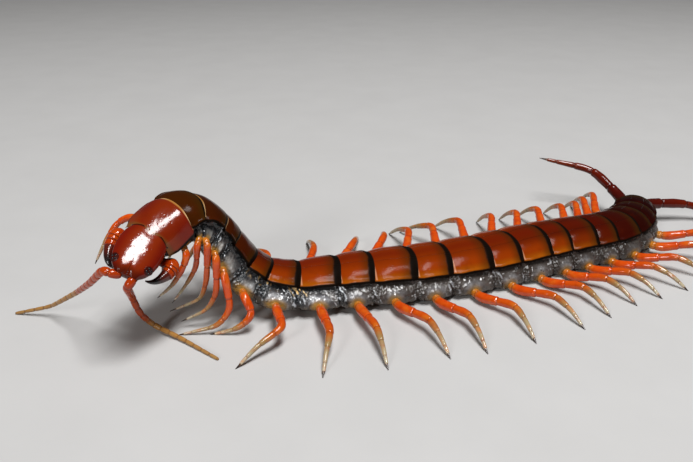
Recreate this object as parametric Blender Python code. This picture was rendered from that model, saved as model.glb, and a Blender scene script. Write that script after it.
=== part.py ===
"""A large centipede at life size, walking with its neck reared and its head bent down.

The body follows one spine. Its distances are in body widths, counted from the front of the
first segment. At each place the spine gives a centre and three directions: tailward, left and
dorsal. The head sits ahead of the spine's front end, and every leg starts at a flank.
"""

import math

import bmesh
import bpy
import numpy as np

MM = 0.001
WIDTH = 12.0 * MM  # across the back plates at the middle of the body
GAP = 0.3 * MM  # clearance between neighbouring pieces
BELLY_CLEARANCE = 1.0 * MM  # between the belly and the floor

# lengths of the 21 leg-bearing segments, in body widths: long and short ones alternate
SEGMENT_LENGTHS = (
    0.55, 0.25, 0.50, 0.32, 0.46, 0.34, 0.50, 0.62, 0.52, 0.68, 0.56,
    0.70, 0.54, 0.62, 0.42, 0.56, 0.38, 0.48, 0.34, 0.36, 0.40,
)
# first and last segment of each length of the body that is a piece of its own
BODY_PIECES = {
    "neck_shield": (1, 1),
    "neck_upper": (2, 3),
    "neck_lower": (4, 5),
    "trunk_front": (6, 8),
    "trunk_fore_middle": (9, 11),
    "trunk_hind_middle": (12, 14),
    "trunk_rear": (15, 17),
    "tail": (18, 19),
    "tail_shield": (20, 21),
}
# relative breadth of the body, at distances in body widths
BREADTH_AT = (0.0, 0.35, 0.8, 1.6, 2.4, 3.4, 7.5, 8.8, 9.5, 10.1)
BREADTH = (0.68, 0.81, 0.84, 0.90, 0.95, 1.00, 1.00, 0.94, 0.84, 0.70)

# the spine: distance in body widths, then heading, climb towards the tail, and roll, in degrees
SPINE = (
    (0.0, 64.0, 18.0, -34.0),
    (0.5, 52.0, 32.0, -21.0),
    (0.95, 46.0, -45.0, -8.0),
    (1.9, 5.0, -65.0, 11.0),
    (3.0, 11.0, 3.0, 5.0),
    (4.6, 12.0, 0.0, -5.0),
    (6.6, 26.0, 0.0, -9.0),
    (8.4, 18.0, 0.0, -7.0),
    (10.1, 76.0, 0.0, -5.0),
)
SPINE_SOFTNESS = 0.22  # body widths over which the bends are rounded
SPINE_STEPS = 1200
ANCHOR_SEGMENT = 10  # the rear of this segment stands over the plan's zero point
PLAN_SHIFT = (-4.0 * MM, -8.4 * MM)  # brings the middle of the footprint to the origin

# half of the cross-section, from the top to the belly, in local body widths
SECTION = (
    (0.0, 0.155), (0.15, 0.146), (0.29, 0.112), (0.41, 0.048), (0.49, -0.050), (0.470, -0.092),
    (0.53, -0.140), (0.61, -0.225), (0.61, -0.355), (0.50, -0.388), (0.30, -0.400), (0.0, -0.400),
)
PLATE_POINTS = 5  # the first points of the half section lie on the back plate
BELLY_POINTS = 2  # the last points of the half section lie on the belly plate
PLATE_RISE = ((0.0, 0.0), (0.06, 0.014), (0.4, 0.030), (0.9, 0.038), (1.0, 0.0))
FLANK_ACROSS = 0.610
FLANK_HEIGHT = -0.290
# how far the soft flanks swell out, at distances in body widths
SWELLING_AT = (0.0, 0.5, 1.8, 2.7, 9.2, 10.1)
SWELLING = (0.74, 0.82, 0.88, 1.00, 1.00, 0.84)
# how much deeper the body is below the back plates' rims, at distances in body widths
DEPTH_AT = (0.0, 0.7, 1.2, 2.2, 2.8)
DEPTH = (0.95, 1.12, 1.30, 1.30, 1.00)
LEG_AT = 0.45  # place of a leg along its segment

# the leg: share of its length and radius as a share of the body width, from the root to the claw tip
LEG_PROFILE = (
    (0.0, 0.066), (0.05, 0.072), (0.15, 0.080), (0.30, 0.070), (0.33, 0.062), (0.42, 0.068),
    (0.52, 0.056), (0.62, 0.052), (0.72, 0.038), (0.86, 0.030), (0.93, 0.024), (1.0, 0.014),
)
LEG_SIDES = 6
LEG_LENGTH_AT = (1, 4, 8, 18, 20)
LEG_LENGTH = (1.00, 1.25, 1.62, 1.55, 1.60)  # body widths
# sweep of each leg's foot and knee towards the tail, in degrees from straight out; each row ends with
# leg 20, the left rows start with leg 7 and the right rows with leg 1
LEFT_SWEEP = (-30, -8, 2, 14, 8, 8, 12, 12, 20, 24, 30, 26, 18, 10)
RIGHT_SWEEP = (-35, -30, -40, -30, -35, -25, -10, 10, 25, 20, 5, -5, 5, 20, 15, 8, 12, 24, 36, 52)
LEFT_KNEE_SWEEP = (6, 2, 6, 22, 18, 22, 24, 26, 30, 32, 34, 30, 22, 12)
RIGHT_KNEE_SWEEP = (-10, 0, -10, 0, -5, 5, 10, 20, 30, 28, 20, 15, 18, 28, 25, 18, 20, 28, 36, 54)
# legs of the raised neck hold their feet off the floor by this much
FOOT_HEIGHT = {1: 12.5 * MM, 2: 9.0 * MM, 3: 6.0 * MM, 4: 4.0 * MM}
# rise of the knee from the root, as a share of the leg's length, at leg numbers
KNEE_LIFT_AT = (1, 4, 6, 8, 20)
LEFT_KNEE_LIFT = (0.0, 0.0, 0.0, 0.04, 0.09)
RIGHT_KNEE_LIFT = (-0.08, -0.04, 0.06, 0.08, 0.09)
KNEE_AT = 0.52  # of the way to the foot
HIP_AT = 0.09  # of the leg's length, square to the flank
# straight distance from root to foot, as a share of the leg's length
REACH_AT = (1, 5, 6, 7, 8, 13, 15, 18, 20)
REACH = (0.88, 0.88, 0.70, 0.84, 0.92, 0.92, 0.82, 0.82, 0.88)
LEG_SOFTNESS = 1.2 * MM
FLAT_FOOT = -0.06 * MM  # height of the claw tip's middle; what is under the floor is cut level with it
SMALL_LEG_AT = (1, 2, 5, 8)
SMALL_LEG = (0.68, 0.64, 0.76, 1.0)  # thickness of the first legs, as a share of the others'
# knee, shin and foot of each left leg under the raised neck, in mm from the plan's zero point and above
# the floor
NECK_LEGS = {
    1: ((-39.0, -16.2, 13.0), (-41.0, -16.6, 9.8), (-43.8, -16.6, 7.4)),
    2: ((-37.5, -13.3, 11.5), (-39.4, -14.1, 8.5), (-42.1, -14.2, 5.0)),
    3: ((-35.9, -13.5, 9.2), (-37.3, -12.8, 5.0), (-43.0, -12.9, 2.6)),
    4: ((-34.2, -14.3, 7.0), (-36.0, -14.3, 3.7), (-40.8, -14.2, 1.3)),
    5: ((-31.7, -15.5, 4.6), (-34.0, -16.2, 1.6), (-41.2, -16.6, -0.06)),
    6: ((-27.8, -15.8, 3.6), (-30.6, -16.5, 1.2), (-35.5, -16.4, -0.06)),
}
NECK_LEG_STRAIGHT = 1.2 * MM

HEAD_WIDTH = 7.7 * MM
HEAD_LENGTH = 8.0 * MM
HEAD_TURN = math.radians(12.0)  # to the left
HEAD_TURN_OVER = 3.0 * MM  # length from the neck along which the head turns
# the head, in its own frame: left, forward from the neck, and up from the rim of the head plate
# share of the length, then half width, crown and underside as shares of the head width
HEAD_PROFILE = (
    (0.0, 0.430, 0.150, -0.200), (0.10, 0.475, 0.165, -0.215), (0.30, 0.500, 0.180, -0.220),
    (0.55, 0.490, 0.180, -0.215), (0.75, 0.440, 0.165, -0.200), (0.88, 0.370, 0.135, -0.175),
    (0.96, 0.290, 0.090, -0.145), (1.0, 0.225, 0.050, -0.115),
)
HEAD_SIDES = 20
RIM_POWER = 0.80  # below 1 the cross-section is boxier than an ellipse
JAW_BASE_LENGTH = 5.6 * MM
JAW_BASE_TOP = -2.45 * MM
JAW_BASE_BOTTOM = -4.10 * MM
JAW_BASE_PROFILE = ((0.0, 3.3), (0.25, 3.5), (0.60, 3.2), (0.82, 2.4), (1.0, 1.5))  # half widths in mm
FANG_ROOT_AT = 1.2 * MM
FANG_PROFILE = (
    (0.0, 0.80), (0.10, 1.00), (0.24, 1.28), (0.42, 1.24), (0.48, 1.14), (0.58, 1.10),
    (0.64, 0.92), (0.76, 0.66), (0.88, 0.40), (1.0, 0.12),
)
FANG_SIDES = 8
# control polygon of a fang after its root: outward and forward places in the head's frame, in mm
FANG_CONTROLS = ((4.9, 1.2, -3.3), (5.9, -1.2, -3.3), (5.3, 4.0, -3.3), (4.6, 5.9, -3.4), (2.6, 5.9, -3.5))
EYE_PLACE = (2.85 * MM, 6.3 * MM)  # outward and forward
EYE_RADIUS = 0.75 * MM
OCELLI = ((0.38, 0.30), (-0.38, 0.34), (0.36, -0.34), (-0.36, -0.32))  # shares of the eye field's radius
OCELLUS_RADIUS = 0.30
OCELLUS_RISE = 0.20 * MM
EYE_SIDES = 16
EYE_RINGS = 6
FEELER_ROOT = (1.20 * MM, -0.25 * MM)  # outward and up, on the head's front
FEELER_ARTICLES = 18
FEELER_RADIUS = (0.74 * MM, 0.27 * MM)  # at the root and at the tip
FEELER_SIDES = 6
FEELER_SOFTNESS = 1.3 * MM
# places along each feeler after its root, in mm from the plan's zero point and above the floor
LEFT_FEELER = (
    (-47.5, -18.6, 9.0), (-46.9, -17.6, 5.0), (-45.5, -15.2, 1.2), (-40.0, -18.4, 0.45), (-32.9, -24.1, 0.2),
)
RIGHT_FEELER = (
    (-49.0, -24.6, 17.2), (-53.4, -20.2, 12.2), (-58.0, -15.1, 7.6), (-65.0, -10.6, 2.2), (-72.0, -9.6, 0.2),
)
FEELER_STRAIGHT = {1.0: 1.5 * MM, -1.0: 0.8 * MM}

# the last pair of legs is stout and starts at the rear face of the last segment; the right one is raised
LAST_LEG_LENGTH = 2.2  # body widths
LAST_LEG_ROOT = (0.26, -0.13)  # outward and up, in local body widths
LAST_LEG_SPREAD = {1.0: (-68.0, -80.0), -1.0: (48.0, 92.0)}  # degrees from the body's heading
# heights of the knee and of the foot from the root, as shares of the leg's length
LAST_LEG_LIFT = {1.0: (-0.01, -0.14), -1.0: (0.17, 0.24)}
LAST_LEG_PROFILE = (
    (0.0, 0.092), (0.04, 0.100), (0.14, 0.108), (0.27, 0.098), (0.30, 0.086), (0.40, 0.094),
    (0.50, 0.080), (0.53, 0.070), (0.64, 0.072), (0.72, 0.056), (0.82, 0.046), (0.93, 0.032), (1.0, 0.014),
)
LAST_LEG_SIDES = 8
LAST_LEG_SOFTNESS = 2.2 * MM

SHELL_RED = (0.30, 0.035, 0.015)
SHELL_ORANGE = (0.55, 0.13, 0.02)
SHELL_MAROON = (0.14, 0.012, 0.012)
LEG_ORANGE = (0.70, 0.20, 0.03)
FEELER_RED = (0.50, 0.10, 0.03)
EYE_BLACK = (0.01, 0.01, 0.01)


def unit(vectors):
    return vectors / np.linalg.norm(vectors, axis=-1, keepdims=True)


def softened(distances, stations, values, spread):
    """A broken line through the stations, averaged over the spread with a bell-shaped weight."""
    offsets = np.linspace(-2.0, 2.0, 17)
    weights = np.exp(-0.5 * offsets**2)
    weights /= weights.sum()
    places = np.asarray(distances)[..., None] + offsets * spread
    return np.interp(places, stations, values) @ weights


def spine_table():
    """The spine sampled evenly: distance, centre, tailward, left and dorsal directions."""
    stations, heading, climb, roll = np.array(SPINE).T
    distances = np.linspace(0.0, sum(SEGMENT_LENGTHS), SPINE_STEPS)
    angles = [
        np.radians(softened(distances, stations, values, SPINE_SOFTNESS)) for values in (heading, climb, roll)
    ]
    heading, climb, roll = angles
    tailward = np.stack(
        [np.cos(climb) * np.cos(heading), np.cos(climb) * np.sin(heading), np.sin(climb)], axis=1
    )
    level_left = np.stack([np.sin(heading), -np.cos(heading), 0.0 * heading], axis=1)
    level_up = np.cross(level_left, tailward)
    left = level_left * np.cos(roll)[:, None] + level_up * np.sin(roll)[:, None]
    dorsal = level_up * np.cos(roll)[:, None] - level_left * np.sin(roll)[:, None]
    step = (distances[1] - distances[0]) * WIDTH
    centre = np.zeros_like(tailward)
    centre[1:] = np.cumsum(0.5 * (tailward[1:] + tailward[:-1]) * step, axis=0)
    anchor = np.searchsorted(distances, sum(SEGMENT_LENGTHS[:ANCHOR_SEGMENT]))
    rest_height = BELLY_CLEARANCE - SECTION[-1][1] * WIDTH
    centre += np.array([*PLAN_SHIFT, rest_height]) - centre[anchor]
    return distances, centre, tailward, left, dorsal


SPINE_TABLE = spine_table()


def spine_at(distance):
    """Centre, tailward, left and dorsal directions at the distances, as arrays of vectors."""
    distances = SPINE_TABLE[0]
    found = []
    for column in SPINE_TABLE[1:]:
        found.append(np.stack([np.interp(distance, distances, column[:, axis]) for axis in range(3)], axis=-1))
    return found[0], unit(found[1]), unit(found[2]), unit(found[3])


def breadth_at(distance):
    return WIDTH * softened(distance, BREADTH_AT, BREADTH, SPINE_SOFTNESS)


def swelling_at(distance):
    return softened(distance, SWELLING_AT, SWELLING, SPINE_SOFTNESS)


def depth_at(distance):
    return softened(distance, DEPTH_AT, DEPTH, SPINE_SOFTNESS)


def segment_start(number):
    return sum(SEGMENT_LENGTHS[: number - 1])


def material(name, colour, roughness, metallic=0.0):
    made = bpy.data.materials.new(name)
    made.use_nodes = True
    shader = made.node_tree.nodes["Principled BSDF"]
    shader.inputs["Base Color"].default_value = (*colour, 1.0)
    shader.inputs["Roughness"].default_value = roughness
    shader.inputs["Metallic"].default_value = metallic
    return made


def add_object(name, points, faces, finish, sharp_degrees=35.0):
    """An object made of the points and faces, its faces turned outward."""
    mesh = bpy.data.meshes.new(name)
    mesh.from_pydata([tuple(point) for point in points], [], faces)
    work = bmesh.new()
    work.from_mesh(mesh)
    bmesh.ops.recalc_face_normals(work, faces=work.faces)
    work.to_mesh(mesh)
    work.free()
    mesh.shade_smooth()
    mesh.set_sharp_from_angle(angle=math.radians(sharp_degrees))
    mesh.materials.append(material(name + "_finish", *finish))
    piece = bpy.data.objects.new(name, mesh)
    bpy.context.scene.collection.objects.link(piece)
    return piece


def ring_faces(ring_count, ring_size):
    """Quads between neighbouring rings, and a cap on each end."""
    faces = []
    for ring in range(ring_count - 1):
        start = ring * ring_size
        for side in range(ring_size):
            following = (side + 1) % ring_size
            faces.append(
                (start + side, start + following, start + ring_size + following, start + ring_size + side)
            )
    faces.append(tuple(range(ring_size)))
    last = (ring_count - 1) * ring_size
    faces.append(tuple(last + side for side in range(ring_size)))
    return faces


def add_rings(name, rings, finish):
    """A closed piece through the rings, an array of ring, point and axis."""
    ring_count, ring_size = rings.shape[:2]
    return add_object(name, rings.reshape(-1, 3), ring_faces(ring_count, ring_size), finish)


def bezier(controls, steps):
    """Points of the Bezier curve through the control polygon, and its unit tangents."""
    controls = np.array(controls)
    degree = len(controls) - 1
    t = np.asarray(steps)[:, None]
    order = np.arange(degree + 1)
    count = np.array([math.comb(degree, k) for k in order])
    points = (count * t**order * (1.0 - t) ** (degree - order)) @ controls
    order = np.arange(degree)
    count = np.array([math.comb(degree - 1, k) for k in order])
    slopes = (count * t**order * (1.0 - t) ** (degree - 1 - order)) @ np.diff(controls, axis=0)
    return points, unit(slopes)


def tube_rings(points, tangents, radii, sides, across, flatness=1.0):
    """Rings around a path. The second radius, along the path's own plane, is flatness times the first."""
    in_plane = unit(np.cross(across, tangents))
    sideways = np.cross(tangents, in_plane)
    turn = 2.0 * math.pi * (np.arange(sides) + 0.5) / sides
    radii = np.asarray(radii)[:, None, None]
    return points[:, None] + radii * (
        flatness * np.cos(turn)[None, :, None] * in_plane[:, None]
        + np.sin(turn)[None, :, None] * sideways[:, None]
    )


def section_points(rise, swelling, depth):
    """The whole cross-section, as pairs across and up, with the back and belly plates raised."""
    half = np.array(SECTION)
    half[PLATE_POINTS + 1 :, 0] *= swelling
    half[PLATE_POINTS:, 1] *= depth
    half[:PLATE_POINTS, 1] += rise
    half[PLATE_POINTS - 1, 0] += 0.4 * rise
    half[-BELLY_POINTS:, 1] -= 0.3 * rise
    mirrored = half[-2:0:-1] * (-1.0, 1.0)
    return np.concatenate([half, mirrored])


def body_rings(first, last):
    """Rings along the segments from first to last, a gap short of the neighbours at both ends."""
    distances = []
    rises = []
    for number in range(first, last + 1):
        for part, rise in PLATE_RISE[:-1]:
            distances.append(segment_start(number) + part * SEGMENT_LENGTHS[number - 1])
            rises.append(rise)
    distances.append(segment_start(last + 1))
    rises.append(PLATE_RISE[-1][1])
    distances = np.array(distances)
    centre, tailward, left, dorsal = spine_at(distances)
    centre[0] += 0.5 * GAP * tailward[0]
    centre[-1] -= 0.5 * GAP * tailward[-1]
    breadth = breadth_at(distances)[:, None, None]
    widths = zip(rises, swelling_at(distances), depth_at(distances))
    outline = np.array([section_points(*row) for row in widths])
    return centre[:, None] + breadth * (
        outline[:, :, :1] * left[:, None] + outline[:, :, 1:] * dorsal[:, None]
    )


def add_body():
    for name, (first, last) in BODY_PIECES.items():
        colour = SHELL_RED if first <= 4 else SHELL_MAROON if first >= 18 else SHELL_ORANGE
        add_rings(name, body_rings(first, last), (colour, 0.25))


def leg_root(number, side):
    """Middle of the flank where the leg starts, and the outward and tailward directions there."""
    around = segment_start(number) + LEG_AT * SEGMENT_LENGTHS[number - 1] + np.array([-0.02, 0.0, 0.02])
    centre, tailward, left, dorsal = spine_at(around)
    across = (FLANK_ACROSS * swelling_at(around))[:, None]
    height = (FLANK_HEIGHT * depth_at(around))[:, None]
    flank = centre + breadth_at(around)[:, None] * (side * across * left + height * dorsal)
    outward = unit(side * np.cross(flank[2] - flank[0], dorsal[1]))
    return flank[1], outward, tailward[1]


def leg_places(number, side):
    """Places along a leg: root, straight start, knee, ankle and foot."""
    root, outward, tailward = leg_root(number, side)
    length = WIDTH * np.interp(number, LEG_LENGTH_AT, LEG_LENGTH)
    level_out = unit(outward * (1.0, 1.0, 0.0))
    level_tail = unit(tailward * (1.0, 1.0, 0.0))
    sweeps = (LEFT_SWEEP, LEFT_KNEE_SWEEP) if side > 0 else (RIGHT_SWEEP, RIGHT_KNEE_SWEEP)
    foot_sweep, knee_sweep = (math.radians(row[number - 21]) for row in sweeps)
    along = math.cos(foot_sweep) * level_out + math.sin(foot_sweep) * level_tail
    knee_along = math.cos(knee_sweep) * level_out + math.sin(knee_sweep) * level_tail
    start = root + GAP * outward
    hip = start + HIP_AT * length * outward
    foot_height = FOOT_HEIGHT.get(number, FLAT_FOOT)
    straight = length * np.interp(number, REACH_AT, REACH)
    reach = math.sqrt(max(straight**2 - (start[2] - foot_height) ** 2, (0.3 * length) ** 2))
    foot = start + reach * along
    foot[2] = foot_height
    lifts = LEFT_KNEE_LIFT if side > 0 else RIGHT_KNEE_LIFT
    knee = start + KNEE_AT * reach * knee_along
    knee[2] = start[2] + np.interp(number, KNEE_LIFT_AT, lifts) * length
    ankle = knee + 0.55 * (foot - knee)
    ankle[2] += 0.04 * length
    return [start, hip, knee, ankle, foot]


def add_leg(number, side):
    shares, radii = np.array(LEG_PROFILE).T
    if side > 0 and number in NECK_LEGS:
        root, outward, _ = leg_root(number, side)
        start = root + GAP * outward
        places = MM * np.array(NECK_LEGS[number])
        places[:, :2] += PLAN_SHIFT
        places = [start, start + NECK_LEG_STRAIGHT * outward, *places]
    else:
        places = leg_places(number, side)
    points, tangents = path_through(places, LEG_SOFTNESS, shares)
    points[0] = places[0]
    tangents[0] = unit(places[1] - places[0])
    across = np.cross(places[-1] - places[0], places[2] - places[0])
    across /= np.linalg.norm(across)
    thickness = WIDTH * np.interp(number, SMALL_LEG_AT, SMALL_LEG)
    rings = tube_rings(points, tangents, radii * thickness, LEG_SIDES, across)
    rings[..., 2] = np.maximum(rings[..., 2], 0.0)
    name = "leg_{}_{:02d}".format("left" if side > 0 else "right", number)
    add_rings(name, rings, (LEG_ORANGE, 0.3))


def add_legs():
    for number in range(1, 21):
        for side in (1.0, -1.0):
            add_leg(number, side)


def head_frame():
    """The neck's front centre and the left, forward and up directions of the head."""
    centre, tailward, left, dorsal = (column[0] for column in spine_at(np.array([0.0])))
    return centre, left, -tailward, dorsal


def in_head(places):
    """World points of places given as left, forward and up in the head's frame.

    The forward axis first follows an arc to the left and then goes straight on.
    """
    centre, left, forward, up = head_frame()
    places = np.asarray(places)
    along = places[..., 1:2]
    on_arc = np.clip(along, 0.0, HEAD_TURN_OVER)
    angle = HEAD_TURN * on_arc / HEAD_TURN_OVER
    radius = HEAD_TURN_OVER / HEAD_TURN
    across = radius * (1.0 - np.cos(angle)) + (along - on_arc) * np.sin(angle) + places[..., :1] * np.cos(angle)
    ahead = radius * np.sin(angle) + (along - on_arc) * np.cos(angle) - places[..., :1] * np.sin(angle)
    return centre + across * left + ahead * forward + places[..., 2:] * up


def head_shape(share, turn):
    """Places on the head: share runs from the neck to the front, turn is the angle around it."""
    stations, half_width, crown, underside = np.array(HEAD_PROFILE).T
    half_width = np.interp(share, stations, half_width) * HEAD_WIDTH
    crown = np.interp(share, stations, crown) * HEAD_WIDTH
    underside = np.interp(share, stations, underside) * HEAD_WIDTH
    across = np.sign(np.cos(turn)) * np.abs(np.cos(turn)) ** RIM_POWER
    upward = np.abs(np.sin(turn)) ** RIM_POWER
    height = np.where(np.sin(turn) > 0.0, crown * upward, underside * upward)
    forward = 0.5 * GAP + share * (HEAD_LENGTH - 0.5 * GAP)
    return np.stack([half_width * across, forward + 0.0 * height, height], axis=-1)


def add_head():
    share = np.array([row[0] for row in HEAD_PROFILE])[:, None]
    turn = (2.0 * math.pi * (np.arange(HEAD_SIDES) + 0.5) / HEAD_SIDES)[None, :]
    add_rings("head", in_head(head_shape(share, turn)), (SHELL_RED, 0.2))


def add_jaw_base():
    rings = []
    for share, half_width in JAW_BASE_PROFILE:
        forward = 0.5 * GAP + share * JAW_BASE_LENGTH
        side = half_width * MM
        bevel = 0.35 * MM
        corners = [
            (side, JAW_BASE_BOTTOM + bevel), (side, JAW_BASE_TOP - bevel), (side - bevel, JAW_BASE_TOP),
            (bevel - side, JAW_BASE_TOP), (-side, JAW_BASE_TOP - bevel), (-side, JAW_BASE_BOTTOM + bevel),
            (bevel - side, JAW_BASE_BOTTOM), (side - bevel, JAW_BASE_BOTTOM),
        ]
        rings.append([(across, forward, up) for across, up in corners])
    add_rings("jaw_base", in_head(rings), (SHELL_RED, 0.3))


def jaw_base_half_width(forward):
    stations, half_width = np.array(JAW_BASE_PROFILE).T
    return MM * np.interp((forward - 0.5 * GAP) / JAW_BASE_LENGTH, stations, half_width)


def add_fang(side):
    middle = 0.5 * (JAW_BASE_TOP + JAW_BASE_BOTTOM)
    root = (jaw_base_half_width(FANG_ROOT_AT) + GAP, FANG_ROOT_AT, middle)
    controls = np.array([root, *(MM * np.array(FANG_CONTROLS))])
    controls[1, 1] = FANG_ROOT_AT
    controls[:, 0] *= side
    shares, radii = np.array(FANG_PROFILE).T
    points, tangents = bezier(in_head(controls), shares)
    rings = tube_rings(points, tangents, radii * MM, FANG_SIDES, head_frame()[3])
    add_rings("forcipule_left" if side > 0 else "forcipule_right", rings, (SHELL_RED, 0.2))


def add_eye(side):
    """A low round field of four domes, its flat underside a gap above the head."""
    share = (EYE_PLACE[1] - 0.5 * GAP) / (HEAD_LENGTH - 0.5 * GAP)
    stations, half_width = np.array(HEAD_PROFILE).T[:2]
    half = np.interp(share, stations, half_width) * HEAD_WIDTH
    turn = math.acos((EYE_PLACE[0] / half) ** (1.0 / RIM_POWER))
    step = 0.02
    middle = head_shape(np.array(share), np.array(turn))
    along = unit(head_shape(np.array(share + step), np.array(turn)) - middle)
    round_rim = unit(head_shape(np.array(share), np.array(turn + step)) - middle)
    normal = unit(np.cross(along, round_rim))
    normal *= np.sign(normal[2])
    round_rim = np.cross(normal, along)
    radius = np.linspace(1.0, 0.0, EYE_RINGS)[:-1, None]
    angle = (2.0 * math.pi * np.arange(EYE_SIDES) / EYE_SIDES)[None, :]
    flat = np.stack([radius * np.cos(angle), radius * np.sin(angle)], axis=-1)
    height = 0.12 * MM * (1.0 - radius**2) + 0.12 * MM
    for place in OCELLI:
        distance = np.linalg.norm(flat - place, axis=-1) / OCELLUS_RADIUS
        height = height + OCELLUS_RISE * np.clip(1.0 - distance**2, 0.0, None)
    rings = (
        middle + (height + GAP)[..., None] * normal
        + EYE_RADIUS * (flat[..., :1] * along + flat[..., 1:] * round_rim)
    )
    base = rings[:1] - height[:1, :, None] * normal
    rings = np.concatenate([base, rings])
    rings[..., 0] *= side
    add_rings("eye_left" if side > 0 else "eye_right", in_head(rings), (EYE_BLACK, 0.1))


def path_through(places, softness, shares):
    """Points and tangents at shares of a broken line through the places, its corners rounded."""
    places = np.array(places)
    spans = np.linalg.norm(np.diff(places, axis=0), axis=1)
    stations = np.concatenate([[0.0], np.cumsum(spans)])
    first = places[0] - unit(places[1] - places[0]) * 3.0 * softness
    last = places[-1] + unit(places[-1] - places[-2]) * 3.0 * softness
    places = np.concatenate([[first], places, [last]])
    reached = np.concatenate([[-3.0 * softness], stations, [stations[-1] + 3.0 * softness]])
    distances = np.asarray(shares) * stations[-1]
    points = np.stack([softened(distances, reached, places[:, axis], softness) for axis in range(3)], axis=1)
    return points, unit(np.gradient(points, distances, axis=0))


def add_feeler(side):
    outward, up = FEELER_ROOT
    root = in_head(np.array([side * outward, HEAD_LENGTH + GAP, up]))
    forward = head_frame()[2]
    places = MM * np.array(LEFT_FEELER if side > 0 else RIGHT_FEELER)
    places[:, :2] += PLAN_SHIFT
    places = np.concatenate([[root, root + FEELER_STRAIGHT[side] * forward], places])
    count = 2 * FEELER_ARTICLES + 1
    points, tangents = path_through(places, FEELER_SOFTNESS, np.linspace(0.0, 1.0, count))
    points[0] = root
    tangents[0] = forward
    radii = np.linspace(*FEELER_RADIUS, count)
    radii[0::2] *= 0.86
    rings = tube_rings(points, tangents, radii, FEELER_SIDES, np.array([0.0, 1.0, 0.0]))
    rings[..., 2] = np.maximum(rings[..., 2], 0.0)
    add_rings("antenna_left" if side > 0 else "antenna_right", rings, (FEELER_RED, 0.4))


def add_last_leg(side):
    end = sum(SEGMENT_LENGTHS)
    centre, tailward, left, dorsal = (column[0] for column in spine_at(np.array([end])))
    breadth = breadth_at(np.array([end]))[0]
    across, up = LAST_LEG_ROOT
    root = centre + breadth * (side * across * left + up * dorsal) + GAP * tailward
    length = LAST_LEG_LENGTH * WIDTH
    heading = math.atan2(tailward[1], tailward[0])
    spreads = np.radians(LAST_LEG_SPREAD[side]) + heading
    away = np.stack([np.cos(spreads), np.sin(spreads), 0.0 * spreads], axis=1)
    hip = root + 0.12 * length * tailward
    knee = hip + 0.38 * length * away[0]
    foot = knee + 0.48 * length * away[1]
    knee[2], foot[2] = root[2] + length * np.array(LAST_LEG_LIFT[side])
    shares, radii = np.array(LAST_LEG_PROFILE).T
    points, tangents = path_through([root, hip, knee, foot], LAST_LEG_SOFTNESS, shares)
    points[0] = root
    tangents[0] = tailward
    rings = tube_rings(points, tangents, radii * WIDTH, LAST_LEG_SIDES, np.array([0.0, 0.0, 1.0]))
    rings[..., 2] = np.maximum(rings[..., 2], 0.0)
    add_rings("leg_left_21" if side > 0 else "leg_right_21", rings, (SHELL_MAROON, 0.25))


def clear_scene():
    for old in list(bpy.data.objects):
        bpy.data.objects.remove(old)


clear_scene()
add_body()
add_legs()
add_head()
add_jaw_base()
for one_side in (1.0, -1.0):
    add_fang(one_side)
    add_eye(one_side)
    add_feeler(one_side)
    add_last_leg(one_side)
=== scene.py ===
"""A large centipede at life size, dressed for looks over its plain solids.

Every piece is a surface worked out from the same spine, head frame and leg paths as the solids.
"""

import math

import bmesh
import bpy
import numpy as np
from mathutils import Matrix, Vector


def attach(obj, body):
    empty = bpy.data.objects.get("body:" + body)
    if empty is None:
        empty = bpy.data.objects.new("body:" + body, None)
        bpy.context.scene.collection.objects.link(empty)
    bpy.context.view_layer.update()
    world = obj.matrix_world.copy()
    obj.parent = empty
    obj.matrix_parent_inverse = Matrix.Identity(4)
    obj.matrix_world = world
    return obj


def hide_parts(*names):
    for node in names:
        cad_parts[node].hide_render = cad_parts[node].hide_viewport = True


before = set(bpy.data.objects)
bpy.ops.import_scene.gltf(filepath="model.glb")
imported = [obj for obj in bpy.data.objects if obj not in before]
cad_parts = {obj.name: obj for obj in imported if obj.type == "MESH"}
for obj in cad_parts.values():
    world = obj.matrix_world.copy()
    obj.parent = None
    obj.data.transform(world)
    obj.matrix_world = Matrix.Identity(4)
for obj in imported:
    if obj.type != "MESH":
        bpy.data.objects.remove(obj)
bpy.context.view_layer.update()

MM = 0.001
WIDTH = 12.0 * MM  # the trunk's breadth; a length without a unit is in this measure
GAP = 0.3 * MM  # between neighbouring solids
BELLY_CLEARANCE = 1.0 * MM
SHARP_ANGLE = math.radians(60.0)  # an edge that turns by more isn't smoothed

# ---- the body's spine, as in the solids: distances are in body widths
SEGMENT_LENGTHS = (
    0.55, 0.25, 0.50, 0.32, 0.46, 0.34, 0.50, 0.62, 0.52, 0.68, 0.56,
    0.70, 0.54, 0.62, 0.42, 0.56, 0.38, 0.48, 0.34, 0.36, 0.40,
)
BODY_PIECES = {
    "neck_shield": (1, 1),
    "neck_upper": (2, 3),
    "neck_lower": (4, 5),
    "trunk_front": (6, 8),
    "trunk_fore_middle": (9, 11),
    "trunk_hind_middle": (12, 14),
    "trunk_rear": (15, 17),
    "tail": (18, 19),
    "tail_shield": (20, 21),
}
BREADTH_AT = (0.0, 0.35, 0.8, 1.6, 2.4, 3.4, 7.5, 8.8, 9.5, 10.1)
BREADTH = (0.68, 0.81, 0.84, 0.90, 0.95, 1.00, 1.00, 0.94, 0.84, 0.70)
PATH_BEYOND = 3.0  # how many times its softness a path is drawn on past its ends
SPINE = (  # distance, then the heading, climb and roll there in degrees
    (0.0, 64.0, 18.0, -34.0),
    (0.5, 52.0, 32.0, -21.0),
    (0.95, 46.0, -45.0, -8.0),
    (1.9, 5.0, -65.0, 11.0),
    (3.0, 11.0, 3.0, 5.0),
    (4.6, 12.0, 0.0, -5.0),
    (6.6, 26.0, 0.0, -9.0),
    (8.4, 18.0, 0.0, -7.0),
    (10.1, 76.0, 0.0, -5.0),
)
SPINE_SOFTNESS = 0.22
SPINE_STEPS = 1200
ANCHOR_SEGMENT = 10  # the end of this segment sets the spine's place
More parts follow.
